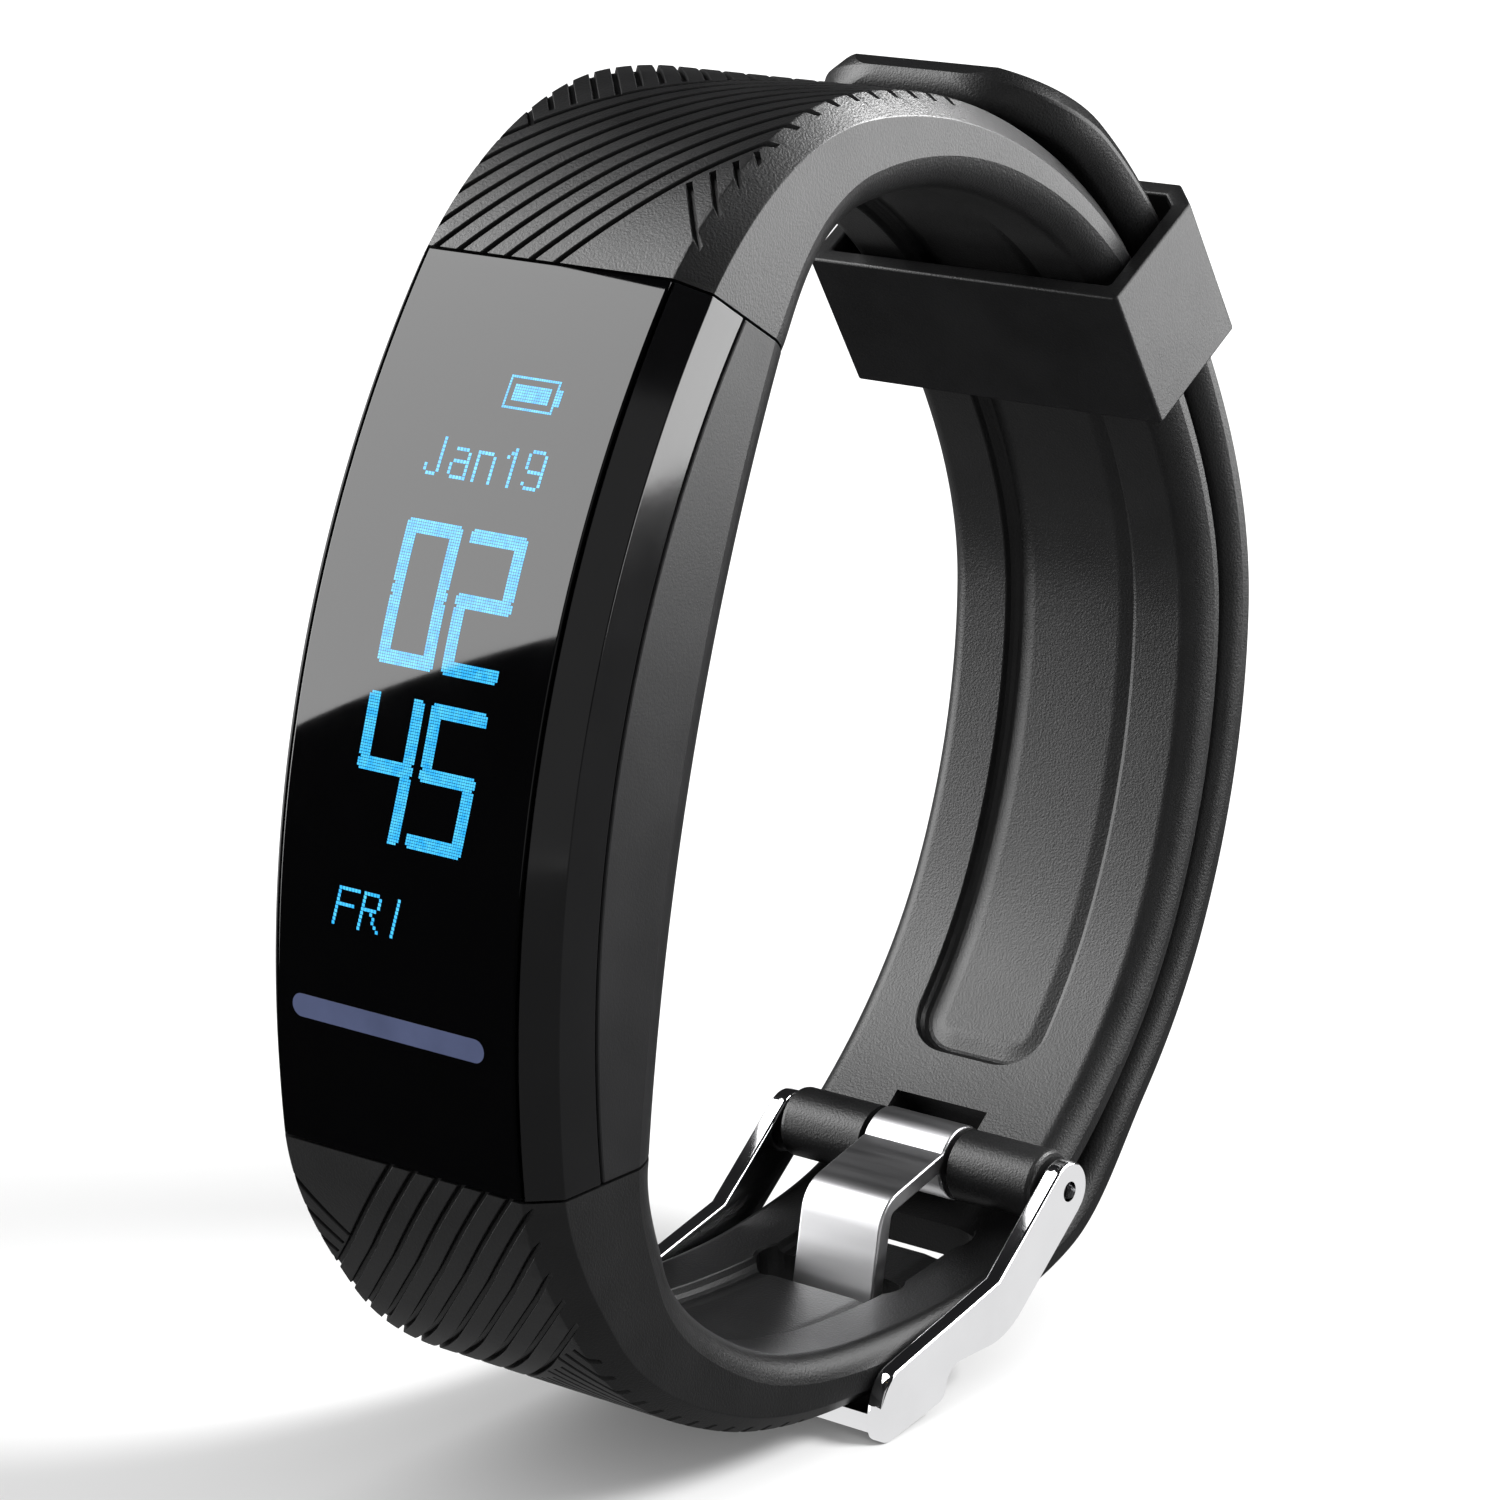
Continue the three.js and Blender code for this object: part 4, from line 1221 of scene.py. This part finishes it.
def softbox(name, centre, facing, up, wide, high, radiance, lit):
    """A rectangular light that faces a direction and is upright along another. All in metres."""
    data = bpy.data.lights.new(name, "AREA")
    data.shape = "RECTANGLE"
    data.size = wide
    data.size_y = high
    data.energy = radiance * math.pi * wide * high
    light = placed(name, data)
    back = -Vector(facing).normalized()
    side = Vector(up).cross(back).normalized()
    top = back.cross(side)
    light.matrix_world = Matrix.Translation(centre) @ Matrix((side, top, back)).transposed().to_4x4()
    light.visible_camera = False
    light.light_linking.receiver_collection = lit


def mirrored_ray(point, normal):
    """The direction in which the camera sees a mirror at a point."""
    seen = (point - CAMERA).normalized()
    return seen - 2 * seen.dot(normal) * normal


def glass_mirror(x, v):
    """A place on the glass and the direction that it mirrors to the camera."""
    place = Vector(glass_point(x, v, 0)) * MM
    out = (Vector(glass_point(x, v, -1)) - Vector(glass_point(x, v, 0))).normalized()
    return place, mirrored_ray(place, out)


def on_plane(place, ray, centre, facing):
    return place + ray * ((centre - place).dot(facing) / ray.dot(facing))


def add_key_softbox(lit):
    """The large front-left softbox. Its lower edge is what the glass shows as a slanting line."""
    place, middle = glass_mirror(0, 8)
    centre = place + middle * 0.42
    facing = -middle
    right = on_plane(*glass_mirror(7.3, 4.5), centre, facing)
    left = on_plane(*glass_mirror(-7.3, -1.6), centre, facing)
    edge = (right - left).normalized()
    above = on_plane(*glass_mirror(0, 15), centre, facing) - left
    rise = (above - edge * above.dot(edge)).normalized()
    high = 0.46
    low_middle = (left + right) / 2
    softbox("key_softbox", low_middle + rise * high / 2, facing, rise,
            wide=0.5, high=high, radiance=6.6, lit=lit)


def add_side_softbox(lit):
    """Behind on the right. Its lower edge ends the light on the side of the module."""
    edge_place = Vector(in_module(MODULE_HALF, 0.57, 2.8)) * MM
    ray = mirrored_ray(edge_place, Vector((1, 0, 0)))
    low = edge_place + ray * 0.12
    high = 0.17
    flat = Vector((ray.x, ray.y, 0)).normalized()
    softbox("side_softbox", low + Vector((0, 0, high / 2)), -flat, UP,
            wide=0.12, high=high, radiance=7.0, lit=lit)


def add_left_softbox(lit):
    """Lights the outer face beside the upper seam and, through the loop, the inner face at the back."""
    ray = Vector((-0.65, -0.33, 0.68))
    softbox("left_softbox", ray * 0.42, -ray, UP, wide=0.2, high=0.3, radiance=6.2, lit=lit)


def add_front_fill(lit):
    """A weak light round the camera, which the bevels mirror."""
    ray = -FORWARD
    softbox("front_fill", ray * 0.6, -ray, UP, wide=0.5, high=0.4, radiance=0.4, lit=lit)


def add_rim_softbox(lit):
    """A small bright light high behind on the right, for the bevel at the top of the loop."""
    ray = Vector((0.33, 0.78, 0.52))
    loop_top = Vector((0.008, 0.004, 0.032))
    softbox("rim_softbox", loop_top + ray * 0.15, -ray, UP, wide=0.06, high=0.05, radiance=40.0, lit=lit)


def add_floor_light(lit):
    """From far behind on the right, so that the band's shadow falls to the front left."""
    ray = Vector((0.66, 0.40, 0.62))
    softbox("floor_light", ray * 6.0, -ray, UP, wide=2.1, high=2.1, radiance=32.0, lit=lit)


def add_floor_glow(lit):
    """A weak light from the floor on the black surfaces that face down."""
    low = Vector((0, 0, FLOOR_Z - 0.004))
    softbox("floor_glow", low, UP, (0, 1, 0), wide=1.6, high=1.6, radiance=0.2, lit=lit)


def add_metal_card(lit):
    """Stands for the pale floor in the polished metal, and for nothing else."""
    low = Vector((0, 0, FLOOR_Z - 0.003))
    softbox("metal_card", low, UP, (0, 1, 0), wide=1.6, high=1.6, radiance=0.85, lit=lit)


def add_world():
    """White to the camera, and nearly black in reflections."""
    world = bpy.data.worlds.new("studio")
    SCENE.world = world
    world.use_nodes = True
    nodes = world.node_tree.nodes
    links = world.node_tree.links
    seen = nodes["Background"]
    set_inputs(seen, {"Color": (1, 1, 1, 1), "Strength": 1.0})
    unseen = nodes.new("ShaderNodeBackground")
    set_inputs(unseen, {"Color": (0.015, 0.015, 0.016, 1)})
    path = nodes.new("ShaderNodeLightPath")
    mix = nodes.new("ShaderNodeMixShader")
    links.new(path.outputs["Is Glossy Ray"], mix.inputs[0])
    links.new(seen.outputs[0], mix.inputs[1])
    links.new(unseen.outputs[0], mix.inputs[2])
    world.cycles.sampling_method = "NONE"
    links.new(mix.outputs[0], nodes["World Output"].inputs["Surface"])


add_camera()
add_floor()
pieces = receivers("lit_by_softboxes", skip=["floor"])
for add_light in (add_key_softbox, add_side_softbox, add_front_fill):
    add_light(pieces)
add_rim_softbox(receivers("lit_from_the_rim", only=["buckle_strap_rubber"]))
add_left_softbox(receivers("lit_from_left", skip=["floor", "glass_pane", "display_pixels", "touch_mark"]))
add_floor_light(receivers("lit_by_floor_light", only=["floor"]))
add_floor_glow(receivers("lit_by_floor_glow", only=[
    "buckle_strap_rubber", "tail_strap_rubber", "gloss_cover_shell", "case_shell"]))
add_metal_card(receivers("lit_by_metal_card", only=["buckle_metal", "tongue_metal"]))
add_world()
SCENE.view_settings.view_transform = "Standard"
SCENE.cycles.caustics_reflective = False
